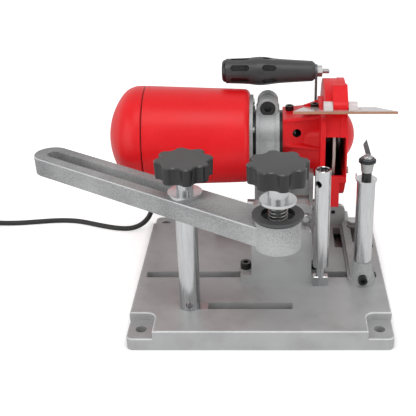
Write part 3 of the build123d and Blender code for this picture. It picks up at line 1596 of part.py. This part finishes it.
with BuildPart() as cord_coil:
    with BuildSketch(Plane(origin=coil_path @ 0, z_dir=coil_path % 0)):
        Circle(cord_d / 2)
    sweep(path=coil_path)
save(cord_coil, "cord_coil")
print("coil gap", round(least_gap(coil_place, coil_turns, cord_d), 2))
print("cord length", round(sum(edge.length for edge in cord_line.line.edges() + coil_path.edges())))

tie_in = coil_outer - coil_pitch * (coil_in_turns - 0.5) - cord_d / 2 - body_gap - slide_gap
tie_out = coil_outer - coil_pitch / 2 + cord_d / 2 + slide_gap
with BuildPart() as cord_tie:
    tie_mid, tie_wide = span(tie_in, tie_out)
    tie_high = coil_pitch + cord_d + 2 * slide_gap
    with BuildSketch(across(coil_x - tie_width / 2, coil_y - tie_mid, coil_low + coil_pitch / 2)):
        Rectangle(tie_wide + 2 * tie_t, tie_high + 2 * tie_t)
        Rectangle(tie_wide, tie_high, mode=Mode.SUBTRACT)
    extrude(amount=tie_width)
save(cord_tie, "cord_tie")

# Moulded plug lying on the bench beside the coil
plug_seat = Plane(origin=coil_path @ 1, x_dir=(coil_path % 1).cross(Vector(0, 0, 1)), z_dir=coil_path % 1)
plug_z = coil_low + coil_pitch
with BuildPart() as mains_plug:
    with BuildSketch(plug_seat):
        Circle(cord_d / 2 + 1)
    with BuildSketch(plug_seat.offset(plug_taper)):
        Circle(plug_neck_r)
    loft()
    with BuildSketch(plug_seat.offset(plug_taper)):
        RectangleRounded(plug_width, 2 * plug_z, base_corner)
    extrude(amount=plug_length)
    with BuildSketch(plug_seat.offset(plug_taper + plug_length)):
        with GridLocations(plug_pin_pitch, 0, 2, 1):
            Circle(plug_pin / 2)
    extrude(amount=plug_pin_length)
save(mains_plug, "mains_plug")
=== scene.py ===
"""Looks of a bench sharpener for circular saw blades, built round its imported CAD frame.

Metres, in the frame's axes: +X along the motor shaft to the wheel, +Y away from the operator, +Z up.
"""
import json
import math

import bpy
import numpy as np
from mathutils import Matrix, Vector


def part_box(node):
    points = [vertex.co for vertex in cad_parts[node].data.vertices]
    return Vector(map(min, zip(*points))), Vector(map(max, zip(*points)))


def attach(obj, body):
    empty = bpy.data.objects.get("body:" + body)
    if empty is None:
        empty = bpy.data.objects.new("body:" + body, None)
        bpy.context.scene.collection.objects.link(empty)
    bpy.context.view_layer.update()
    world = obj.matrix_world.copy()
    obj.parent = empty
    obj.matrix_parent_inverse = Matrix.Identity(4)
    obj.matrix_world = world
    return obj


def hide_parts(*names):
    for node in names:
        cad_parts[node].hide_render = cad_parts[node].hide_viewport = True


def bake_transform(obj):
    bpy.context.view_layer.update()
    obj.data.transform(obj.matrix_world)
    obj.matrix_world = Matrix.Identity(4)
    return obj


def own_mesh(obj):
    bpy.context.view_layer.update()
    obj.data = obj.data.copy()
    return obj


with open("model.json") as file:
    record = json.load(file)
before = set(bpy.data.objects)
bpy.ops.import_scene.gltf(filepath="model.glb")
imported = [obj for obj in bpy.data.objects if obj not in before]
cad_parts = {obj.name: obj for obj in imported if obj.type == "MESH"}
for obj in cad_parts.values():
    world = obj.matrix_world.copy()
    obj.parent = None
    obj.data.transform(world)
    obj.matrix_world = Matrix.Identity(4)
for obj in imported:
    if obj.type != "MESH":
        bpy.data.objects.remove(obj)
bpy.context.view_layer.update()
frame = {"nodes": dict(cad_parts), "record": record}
nodes = frame["nodes"]
MM = 0.001

# Sizes repeated from the part's source: motor, wheel and spindle housing
MOTOR_Y, MOTOR_Z, MOTOR_R = 60 * MM, 174 * MM, 61.5 * MM
SEAM_X, SEAM = -142 * MM, 1.2 * MM
NOSE_R, WHEEL_RIM = 40.5 * MM, 58 * MM
PORT_X, PORT_Z, PORT_R = 43 * MM, 188.7 * MM, 5.6 * MM
# Handle grip, the underside of the tooth stop's clip, and the blade spring
HANDLE_Y, HANDLE_Z, GRIP_CAP_X = 87 * MM, 248.8 * MM, -43.4 * MM
OVAL_FLOORS = np.array([13.8, 15.3]) * MM
CLIP_Z = 181.4 * MM
SPRING_WIRE, SPRING_MEAN, SPRING_TURNS = 2 * MM, 18.4 * MM, 7
# Cord gland: place on the motor, then lengths and radii along its own way out
GLAND_X, GLAND_ANGLE = -158 * MM, math.radians(50)
GLAND_IN, GLAND_COLLAR, GLAND_TIP = 6 * MM, 5 * MM, 31 * MM
GLAND_R, GLAND_COLLAR_R = 7 * MM, 9.5 * MM
GLAND_RIBS, GLAND_GROOVE, GLAND_RIB_SHARE = 6, 0.9 * MM, 0.55
# Cord, its coil and the plug on its tail
CORD_D = 7 * MM
CORD_LEAD, COIL_LEAD, CORD_TAIL = 4 * CORD_D, 7 * CORD_D, 40 * MM
COIL_X, COIL_Y, COIL_LOW = -440 * MM, 100 * MM, 5.3 * MM
COIL_OUTER, COIL_PITCH = 50 * MM, 7.6 * MM
COIL_IN_TURNS, COIL_TURNS, COIL_POINTS = 3.0, 6.25, 101
PLUG_BODY = 62.2 * MM
SLIGHT = 1e-4


def linear(code):
    """Linear RGBA of an sRGB hex colour: c/12.92 below 0.04045, else ((c + 0.055)/1.055) to the power 2.4."""
    srgb = np.array([int(code[i:i + 2], 16) for i in (1, 3, 5)]) / 255
    rgb = np.where(srgb <= 0.04045, srgb / 12.92, ((srgb + 0.055) / 1.055) ** 2.4)
    return (*rgb.tolist(), 1.0)


def put(tree, kind, sockets=(), **settings):
    """Add a node: settings are its own properties, sockets are input values or links by name or number."""
    node = tree.nodes.new(kind)
    for name, value in settings.items():
        setattr(node, name, value)
    for name, value in dict(sockets).items():
        if isinstance(value, bpy.types.NodeSocket):
            tree.links.new(value, node.inputs[name])
        else:
            node.inputs[name].default_value = value
    return node


def finish_of(name, **sockets):
    """New material with one Principled shader, its plain socket values, and Object coordinates."""
    material = bpy.data.materials.new(name)
    material.use_nodes = True
    tree = material.node_tree
    shader = tree.nodes["Principled BSDF"]
    for socket, value in sockets.items():
        shader.inputs[socket.replace("_", " ")].default_value = value
    place = put(tree, "ShaderNodeTexCoord").outputs["Object"]
    return material, tree, shader, place


def per_mm(size):
    """Noise scale whose cells are about size millimetres wide in a scene in metres."""
    return 1 / (size * MM)


def grained(name, dark, light, grain, relief, rough, mottle=40.0, stretch=(1, 1, 1), spread=0.25, **sockets):
    """Finish between two hex colours: stretched noise of a grain and a bump in mm, of a contrast 1/spread."""
    material, tree, shader, place = finish_of(name, **sockets)
    place = put(tree, "ShaderNodeMapping", {"Vector": place, "Scale": stretch}).outputs["Vector"]
    fine = put(tree, "ShaderNodeTexNoise", {"Vector": place, "Scale": per_mm(grain), "Detail": 4.0,
                                            "Roughness": 0.65}).outputs["Fac"]
    broad = put(tree, "ShaderNodeTexNoise", {"Vector": place, "Scale": per_mm(mottle), "Detail": 2.0})
    both = put(tree, "ShaderNodeMath", {0: fine, 1: broad.outputs["Fac"]}, operation="ADD")
    share = {"Value": both.outputs[0], "From Min": 1 - spread, "From Max": 1 + spread}
    drift = put(tree, "ShaderNodeMapRange", share)
    tint = put(tree, "ShaderNodeMix", {"Factor": drift.outputs[0], 6: linear(dark), 7: linear(light)},
               data_type="RGBA")
    tree.links.new(tint.outputs[2], shader.inputs["Base Color"])
    gloss = put(tree, "ShaderNodeMapRange", {**share, "To Min": rough[0], "To Max": rough[1]})
    tree.links.new(gloss.outputs[0], shader.inputs["Roughness"])
    bump = put(tree, "ShaderNodeBump", {"Height": fine, "Distance": relief * MM, "Strength": 1.0})
    tree.links.new(bump.outputs[0], shader.inputs["Normal"])
    return material


# Grain is in mm, and coarser than the real one where that is too fine to show in the render.

# Cast iron under sprayed grey enamel: smooth, semi-gloss, with faint metallic grain
grey_enamel = grained("grey_enamel_on_cast_iron", "#9a9a9b", "#aaabab", 1.0, 0.015, (0.24, 0.34))
# Rounded upper edges of that enamel, paler and smoother: a painted highlight
enamel_rim_highlight = grained("grey_enamel_rim_painted_highlight", "#bcbdbe", "#d8d9d9", 1.0, 0.01, (0.2, 0.3))
# The arms have a thin silver-grey coat over coarse sand casting: matte, with sparkling grain
arm_enamel = grained("silver_enamel_on_sand_casting", "#727374", "#acadad", 1.5, 0.08, (0.45, 0.6),
                     mottle=90.0, spread=0.2)
# Red stove enamel: semi-gloss with slight orange peel
red_enamel = grained("red_stove_enamel", "#de161d", "#e71b22", 2.6, 0.012, (0.34, 0.44),
                     Specular_IOR_Level=0.3)
# Die-cast aluminium, blasted, with machined edges: pale satin metal
bare_aluminium = grained("blasted_aluminium", "#8f9192", "#bcbebe", 1.3, 0.05, (0.46, 0.62), Metallic=0.7)
# Zinc-plated screws, keys and plug pins: soft grey metal
zinc = grained("zinc_plated_steel", "#9b9c9b", "#c2c3c2", 1.5, 0.01, (0.38, 0.52), Metallic=0.85)
# Bright nickel plate on steel tubes and flanges: near mirror, with streaks and stains along them
plate = grained("bright_nickel_plate", "#b8babb", "#d5d6d7", 1.4, 0.003, (0.16, 0.3), mottle=14.0,
                stretch=(1, 1, 0.06), Metallic=1.0)
# Bright zinc plate on the two clamp flanges: paler and softer than nickel
flange_plate = grained("bright_zinc_plate", "#bcbdbe", "#cbcccd", 1.2, 0.002, (0.16, 0.26), Metallic=0.75)
# Black oxide on socket screws and the stop's rod: dark with an oily sheen; the same dark finish is painted
# shade on the motor's nose, in the motor's seam and in the spindle housing's hole
black_oxide_and_painted_shade = grained("black_oxide_steel_and_painted_shade", "#141414", "#222222", 1.2, 0.01, (0.3, 0.42))
# Plain sheet steel: mid grey, rolled
sheet_steel = grained("rolled_sheet_steel", "#56585a", "#75777a", 1.6, 0.01, (0.35, 0.5), Metallic=0.8)
# Spring wire: hard-drawn steel, slightly oiled
spring_wire = grained("hard_drawn_spring_steel", "#6a6a69", "#9a9a98", 1.0, 0.005, (0.22, 0.32), Metallic=1.0)
# Seat ring and the wheel's steel dish: dark phosphate coat; on the dish the dark colour also stands in for
# painted shade
phosphate_and_dish_shade = grained("phosphate_coated_steel_and_painted_shade", "#3b3c3d", "#4a4b4c", 1.0, 0.02, (0.45, 0.6))
# Glass-filled nylon knobs: matte black with a fine spark-eroded texture
black_nylon = grained("moulded_black_nylon", "#141415", "#1e1e1f", 1.2, 0.03, (0.32, 0.42))
# Upper rims of the knobs, a little paler and glossier: a painted highlight
nylon_rim_highlight = grained("black_nylon_rim_painted_highlight", "#323233", "#434344", 1.2, 0.01, (0.24, 0.34))
# Handle: black polypropylene with a satin sheen
grip_plastic = grained("satin_black_polypropylene", "#303031", "#3f3f40", 1.6, 0.012, (0.34, 0.46))
# End of the handle and floors of its finger ovals: darker and glossier; on the oval floors the darker colour
# is painted shade in the recesses
grip_gloss_and_oval_shade = grained("glossy_black_polypropylene_oval_painted_shade", "#161617", "#1f1f20", 2.0, 0.002, (0.1, 0.16))
# Bonded white alumina, dusted by use: pale, warm and rough
grit = grained("bonded_alumina_grit", "#a3948d", "#d3c8c3", 0.8, 0.08, (0.7, 0.85))
# Spark shield of clear cast acrylic: smooth and glossy, with a faint haze of wiped grinding dust
acrylic = grained("cast_acrylic", "#dfd6d5", "#e9e1e0", 3.0, 0.002, (0.05, 0.12), Alpha=0.84, IOR=1.49)
# Its sawn front edge: tan, almost closed to light, with fine saw marks across
acrylic_edge = grained("sawn_acrylic_edge", "#a07660", "#b4866c", 1.2, 0.01, (0.16, 0.3),
                       Alpha=0.92, IOR=1.49)
# PVC cord jacket: dull black
cord_pvc = grained("black_pvc_jacket", "#1d1d1d", "#2b2b2b", 2.0, 0.02, (0.46, 0.58))

# Finish of each of the record's material slots, then of the nodes that differ from their slot
finishes = {
    "grey_casting": grey_enamel, "red_paint": red_enamel, "bare_aluminium": bare_aluminium,
    "zinc_steel": zinc, "plated_tube": plate, "dark_steel": black_oxide_and_painted_shade, "grey_steel": sheet_steel,
    "hidden_motor": zinc, "grinding_grit": grit, "black_plastic": black_nylon, "black_grip": grip_plastic,
    "cord_rubber": cord_pvc, "clear_acrylic": acrylic,
}
for part in frame["record"]["subparts"]:
    mesh = nodes[part["node"]].data
    mesh.materials.clear()
    mesh.materials.append(finishes[part["material_slot"]])
# On the grinding wheel the dark phosphate is partly the dish's own colour and partly painted shade
for name, finish in (("grinding_wheel", phosphate_and_dish_shade), ("blade_seat", phosphate_and_dish_shade), ("clamp_flange", flange_plate),
                     ("blade_flange", flange_plate), ("blade_arm", arm_enamel), ("pawl_arm", arm_enamel)):
    nodes[name].data.materials[0] = finish


# Limits on a part of a face's normal, which is 0 where the face lies along that axis and 1 where it faces it
LEVEL, HALF, FACING = 0.01, 0.5, 0.9
RIM_LEAST, RIM_MOST = 0.25, 0.96
DEPTH_SLACK = 0.1 * MM


def repaint(name, finish, chooses):
    """Give a second finish to the faces of a node that a rule on their centres and normals chooses."""
    mesh = nodes[name].data
    at, way = np.zeros(3 * len(mesh.polygons)), np.zeros(3 * len(mesh.polygons))
    mesh.polygons.foreach_get("center", at)
    mesh.polygons.foreach_get("normal", way)
    chosen = chooses(at.reshape(-1, 3), way.reshape(-1, 3))
    mesh.materials.append(finish)
    mesh.polygons.foreach_set("material_index", np.where(chosen, len(mesh.materials) - 1, 0).astype(np.int32))


def from_motor_axis(at):
    """Distance of points from the motor's axis, which runs along X."""
    return np.hypot(at[:, 1] - MOTOR_Y, at[:, 2] - MOTOR_Z)


def upper_rim(at, way):
    """Faces of rounded upper edges, which get a painted highlight: their normals lean between level and
    upright.
    """
    return (way[:, 2] > RIM_LEAST) & (way[:, 2] < RIM_MOST)


def grip_cap_and_shaded_ovals(at, way):
    """Faces of the grip's end cap, and of its finger ovals' floors, which get painted shade, by their depth
    along the normal.
    """
    depth = (at[:, 1] - HANDLE_Y) * way[:, 1] + (at[:, 2] - HANDLE_Z) * way[:, 2]
    floors = np.abs(depth[:, None] - OVAL_FLOORS).min(axis=1) < DEPTH_SLACK
    return (at[:, 0] < GRIP_CAP_X) | floors & (np.abs(way[:, 0]) < LEVEL)


def grease_port(at, way):
    """Faces of the wall of the hole in the spindle housing's front, painted dark as the hole's shade."""
    return (np.hypot(at[:, 0] - PORT_X, at[:, 2] - PORT_Z) < PORT_R) & (np.abs(way[:, 1]) < HALF)


# Painted highlight: the rounded upper edges of the cast parts get a paler, smoother enamel
for name in ("base_plate", "blade_arm", "pawl_arm", "tower_bracket", "rear_bracket"):
    repaint(name, enamel_rim_highlight, upper_rim)
# Painted highlight: the knobs' upper rims get a paler, glossier nylon
for name in ("arm_knob", "blade_knob"):
    repaint(name, nylon_rim_highlight, upper_rim)
repaint("spark_shield", acrylic_edge, lambda at, way: way[:, 1] < -FACING)
# Painted shade in the handle's finger ovals, with a darker, glossier end cap
repaint("handle_grip", grip_gloss_and_oval_shade, grip_cap_and_shaded_ovals)
repaint("grinding_wheel", grit, lambda at, way: from_motor_axis(at) > WHEEL_RIM)
# Painted shade: the motor flange's nose is painted black to darken the gap between its ring and the collar
repaint("motor_flange", black_oxide_and_painted_shade, lambda at, way: from_motor_axis(at) < NOSE_R)
# Painted shade: the chamfer of the motor's seam groove is painted black to darken the groove
repaint("motor_shell", black_oxide_and_painted_shade, lambda at, way: (at[:, 0] < SEAM_X + SEAM) & (way[:, 0] < -HALF))
# Painted shade: the wall of the housing's hole is painted black for the shade inside it
repaint("spindle_housing", black_oxide_and_painted_shade, grease_port)
repaint("pawl_collar", black_oxide_and_painted_shade, lambda at, way: at[:, 2] > CLIP_Z)
repaint("pawl_rod", black_oxide_and_painted_shade, lambda at, way: at[:, 2] < CLIP_Z)


def coil_points(turns):
    """Coil centre line: radius falls by a pitch a turn, climbs a layer in half a turn, then grows again."""
    past = turns - COIL_IN_TURNS
    radius = COIL_OUTER - COIL_PITCH * (COIL_IN_TURNS - np.abs(past))
    climb = np.clip(2 * past + 0.5, 0, 1)
    height = COIL_LOW + COIL_PITCH * climb**2 * (3 - 2 * climb)
    angle = 2 * np.pi * turns + np.pi / 2
    return np.stack([COIL_X + radius * np.cos(angle), COIL_Y + radius * np.sin(angle), height], axis=1)


def coil_way(first, second):
    """Unit vector along the coil, between two places on it that are a slight turn apart."""
    start, end = coil_points(np.array([first, second]))
    return (end - start) / np.linalg.norm(end - start)


# Cord route: out of the gland, down behind the motor, over the floor to the left, then the coil and its tail;
# the points behind the motor and on the floor lie a few mm from the part's own, to follow the photograph
gland_way = np.array([0, math.sin(GLAND_ANGLE), -math.cos(GLAND_ANGLE)])
gland_tip = np.array([GLAND_X, MOTOR_Y, MOTOR_Z]) + gland_way * (MOTOR_R + GLAND_TIP)
coil_ring = coil_points(np.linspace(0, COIL_TURNS, COIL_POINTS))
tail_way = coil_way(COIL_TURNS - SLIGHT, COIL_TURNS)
cord_route = np.vstack([
    gland_tip,
    gland_tip + gland_way * CORD_LEAD,
    np.array([
        (-155, 158, 66), (-154, 148, 37), (-158.5, 142, 20.5), (-170, 137, 9.2), (-187, 135, 3.6),
        (-210, 138, 3.6), (-236, 148, 3.6), (-264, 160, 3.6), (-293, 162, 3.6), (-323, 157, 3.6),
        (-356, 152, 3.6),
    ]) * MM,
    coil_ring[0] - coil_way(0.0, SLIGHT) * COIL_LEAD,
    coil_ring,
    coil_ring[-1] + tail_way * CORD_TAIL / 2,
    coil_ring[-1] + tail_way * CORD_TAIL,
])
repaint("mains_plug", zinc, lambda at, way: (at - cord_route[-1]) @ tail_way > PLUG_BODY)


def nurbs_line(name, points):
    """Open NURBS spline of order 3 with these control points, as a curve object."""
    curve = bpy.data.curves.new(name, "CURVE")
    curve.dimensions = "3D"
    spline = curve.splines.new("NURBS")
    spline.points.add(len(points) - 1)
    spline.points.foreach_set("co", np.column_stack([points, np.ones(len(points))]).ravel())
    spline.order_u = 3
    spline.use_endpoint_u = True
    curve.resolution_u = 6
    line = bpy.data.objects.new(name, curve)
    bpy.context.scene.collection.objects.link(line)
    return line


def mesh_of(line):
    """Mesh of a curve object as it stands now."""
    bpy.context.view_layer.update()
    return bpy.data.meshes.new_from_object(line)


def smooth(piece):
    """Shade every face of a piece smooth."""
    piece.data.polygons.foreach_set("use_smooth", np.ones(len(piece.data.polygons), bool))


cord_line = nurbs_line("cord_line", cord_route)
cord_path = mesh_of(cord_line)
path_points = np.zeros(3 * len(cord_path.vertices))
cord_path.vertices.foreach_get("co", path_points)
path_points = path_points.reshape(-1, 3)
cord_line.data.bevel_depth = CORD_D / 2
cord_line.data.bevel_resolution = 5
cord_line.data.use_fill_caps = True
cord_tube = bpy.data.objects.new("mains_cord", mesh_of(cord_line))
bpy.context.scene.collection.objects.link(cord_tube)
bpy.data.objects.remove(cord_line)
cord_tube.data.materials.clear()
cord_tube.data.materials.append(cord_pvc)
smooth(cord_tube)
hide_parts("cord_run", "cord_coil")
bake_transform(cord_tube)


def swept_skin(name, skin, ends, finish):
    """Closed tube from rings of points: four-sided faces between rings, a fan to the middle of each end."""
    rings, spokes = skin.shape[:2]
    here = np.arange(rings * spokes).reshape(rings, spokes)
    wrap = np.roll(here, -1, axis=1)
    quads = np.stack([here[:-1], wrap[:-1], wrap[1:], here[1:]], axis=-1).reshape(-1, 4)
    first = np.stack([np.full(spokes, here.size), wrap[0], here[0]], axis=-1)
    last = np.stack([np.full(spokes, here.size + 1), here[-1], wrap[-1]], axis=-1)
    mesh = bpy.data.meshes.new(name)
    mesh.from_pydata(np.vstack([skin.reshape(-1, 3), ends]).tolist(), [],
                     quads.tolist() + first.tolist() + last.tolist())
    mesh.materials.append(finish)
    piece = bpy.data.objects.new(name, mesh)
    bpy.context.scene.collection.objects.link(piece)
    return piece


def strain_relief(rings=150, spokes=36):
    """Gland turned about its way out: radius is a stub, a collar, then a cone with a groove in each pitch."""
    along = np.linspace(-GLAND_IN, GLAND_TIP, rings)
    share = np.clip((along - GLAND_COLLAR) / (GLAND_TIP - GLAND_COLLAR), 0, 1)
    groove = GLAND_GROOVE * (np.modf(share * GLAND_RIBS)[0] > GLAND_RIB_SHARE) * (share < 1)
    cone = GLAND_R + (CORD_D / 2 + MM - GLAND_R) * share - groove
    radius = np.select([along < 0, along < GLAND_COLLAR], [GLAND_R, GLAND_COLLAR_R], cone)[:, None, None]
    turn = np.linspace(0, 2 * np.pi, spokes, endpoint=False)[:, None]
    side = np.array([1.0, 0, 0])
    spoke = np.cos(turn) * side + np.sin(turn) * np.cross(gland_way, side)
    seat = gland_tip - gland_way * GLAND_TIP
    middle = seat + along[:, None] * gland_way
    return swept_skin("strain_relief", middle[:, None] + radius * spoke, middle[[0, -1]], cord_pvc)


def wound_spring(low, high, rings=337, spokes=14):
    """Round wire on a helix: its line turns about the stud as it climbs, its section is square to that."""
    turn = np.linspace(0, 2 * np.pi * SPRING_TURNS, rings)
    climb = (high[2] - low[2] - SPRING_WIRE) / (2 * np.pi * SPRING_TURNS)
    out = np.stack([np.cos(turn), np.sin(turn), np.zeros(rings)], axis=1)
    along = SPRING_MEAN / 2 * np.stack([-np.sin(turn), np.cos(turn), np.zeros(rings)], axis=1) + [0, 0, climb]
    along /= np.linalg.norm(along, axis=1, keepdims=True)
    middle = (low + high) / 2 * [1, 1, 0] + SPRING_MEAN / 2 * out
    middle[:, 2] = low[2] + SPRING_WIRE / 2 + climb * turn
    about = np.linspace(0, 2 * np.pi, spokes, endpoint=False)[None, :, None]
    section = np.cos(about) * out[:, None] + np.sin(about) * np.cross(along, out)[:, None]
    skin = middle[:, None] + SPRING_WIRE / 2 * section
    return swept_skin("blade_spring_wire", skin, middle[[0, -1]], spring_wire)


gland = strain_relief()
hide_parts("cord_gland")
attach(gland, "head")

spring_low, spring_high = (np.array(corner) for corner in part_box("blade_spring"))
spring = wound_spring(spring_low, spring_high)
smooth(spring)
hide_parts("blade_spring")
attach(spring, "arm")
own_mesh(spring)

# Camera at the photograph's angle
scene = bpy.context.scene
scene.view_settings.view_transform = "Standard"
camera = bpy.data.objects.new("camera", bpy.data.cameras.new("camera"))
camera.location = (11.83 * MM, -944.22 * MM, 569.26 * MM)
camera.rotation_euler = (math.radians(63.724), 0, 0)
camera.data.lens = 74.74
camera.data.sensor_width = 36
camera.data.shift_x = -0.1515
camera.data.clip_start = 0.01
scene.collection.objects.link(camera)
scene.camera = camera

# Floor: pale, lifted to white for the camera from the base's edge outwards and again far away; metal and
# clear pieces see a smaller share of that lift
FLOOR_HALF = 6.0
EDGE_START, EDGE_END, EDGE_LIFT = 0.145, 0.165, 0.5
FAR_START, FAR_END, FAR_LIFT = 0.4, 2.0, 0.4
REFLECTED_LIFT = 0.2
floor_mesh = bpy.data.meshes.new("floor")
corners = FLOOR_HALF * np.array([(-1, -1, 0), (1, -1, 0), (1, 1, 0), (-1, 1, 0)])
floor_mesh.from_pydata(corners.tolist(), [], [(0, 1, 2, 3)])
floor = bpy.data.objects.new("floor", floor_mesh)
scene.collection.objects.link(floor)
floor_paint, paint, floor_shader, floor_place = finish_of("pale_floor", Roughness=0.9)
floor_shader.inputs["Base Color"].default_value = linear("#fbfbfb")
floor_shader.inputs["Emission Color"].default_value = (1, 1, 1, 1)
axes = put(paint, "ShaderNodeSeparateXYZ", {"Vector": floor_place}).outputs
across = put(paint, "ShaderNodeMath", {0: axes["X"]}, operation="ABSOLUTE")
away = put(paint, "ShaderNodeMath", {0: axes["Y"]}, operation="ABSOLUTE")
reach = put(paint, "ShaderNodeMath", {0: across.outputs[0], 1: away.outputs[0]}, operation="MAXIMUM")
near = put(paint, "ShaderNodeMapRange",
           {"Value": reach.outputs[0], "From Min": EDGE_START, "From Max": EDGE_END, "To Max": EDGE_LIFT})
far = put(paint, "ShaderNodeMapRange",
          {"Value": reach.outputs[0], "From Min": FAR_START, "From Max": FAR_END, "To Max": FAR_LIFT})
lift = put(paint, "ShaderNodeMath", {0: near.outputs[0], 1: far.outputs[0]}, operation="ADD")
rays = put(paint, "ShaderNodeLightPath").outputs
mirrored = put(paint, "ShaderNodeMath", {0: rays["Is Glossy Ray"], 1: rays["Is Transmission Ray"]},
               operation="ADD")
seen = put(paint, "ShaderNodeMath", {0: mirrored.outputs[0], 1: REFLECTED_LIFT, 2: rays["Is Camera Ray"]},
           operation="MULTIPLY_ADD")
glow = put(paint, "ShaderNodeMath", {0: seen.outputs[0], 1: lift.outputs[0]}, operation="MULTIPLY")
paint.links.new(glow.outputs[0], floor_shader.inputs["Emission Strength"])
floor_mesh.materials.append(floor_paint)

# World: white to the camera and through clear pieces, even and dimmer as light; reflections show a white
# backdrop behind the object and a darker room in front of it
AMBIENT, ROOM, ROOM_EDGE = 0.36, 0.3, 0.3
world = bpy.data.worlds.new("studio")
scene.world = world
world.use_nodes = True
sky = world.node_tree
rays = put(sky, "ShaderNodeLightPath").outputs
direction = put(sky, "ShaderNodeTexCoord").outputs["Generated"]
depth = put(sky, "ShaderNodeSeparateXYZ", {"Vector": direction}).outputs["Y"]
room = put(sky, "ShaderNodeMapRange",
           {"Value": depth, "From Min": -ROOM_EDGE, "From Max": ROOM_EDGE, "To Min": ROOM, "To Max": 1.0})
ambient = put(sky, "ShaderNodeMix", {"Factor": rays["Is Glossy Ray"], "A": AMBIENT, "B": room.outputs[0]})
level = put(sky, "ShaderNodeMix", {"Factor": rays["Is Camera Ray"], "A": ambient.outputs[0], "B": 1.0})
clear = put(sky, "ShaderNodeMix", {"Factor": rays["Is Transmission Ray"], "A": level.outputs[0], "B": 1.0})
sky.links.new(clear.outputs[0], sky.nodes["Background"].inputs["Strength"])
sky.nodes["Background"].inputs["Color"].default_value = (1, 1, 1, 1)


def soft_lamp(name, place, size, watts, target=(0, 0, 0.12)):
    """Square area lamp that faces a target point, the middle of the object."""
    lamp = bpy.data.lights.new(name, "AREA")
    lamp.size = size
    lamp.energy = watts
    holder = bpy.data.objects.new(name, lamp)
    holder.location = place
    way = np.array(place) - np.array(target)
    holder.rotation_euler = (math.atan2(math.hypot(way[0], way[1]), way[2]), 0, math.atan2(way[0], -way[1]))
    scene.collection.objects.link(holder)


# A large soft lamp to each side and a smaller one above
soft_lamp("left", (-1.6, -1.3, 0.9), 2.0, 22)
soft_lamp("right", (1.6, -1.3, 0.9), 2.0, 18)
soft_lamp("top", (0.0, -0.75, 1.75), 0.9, 10)
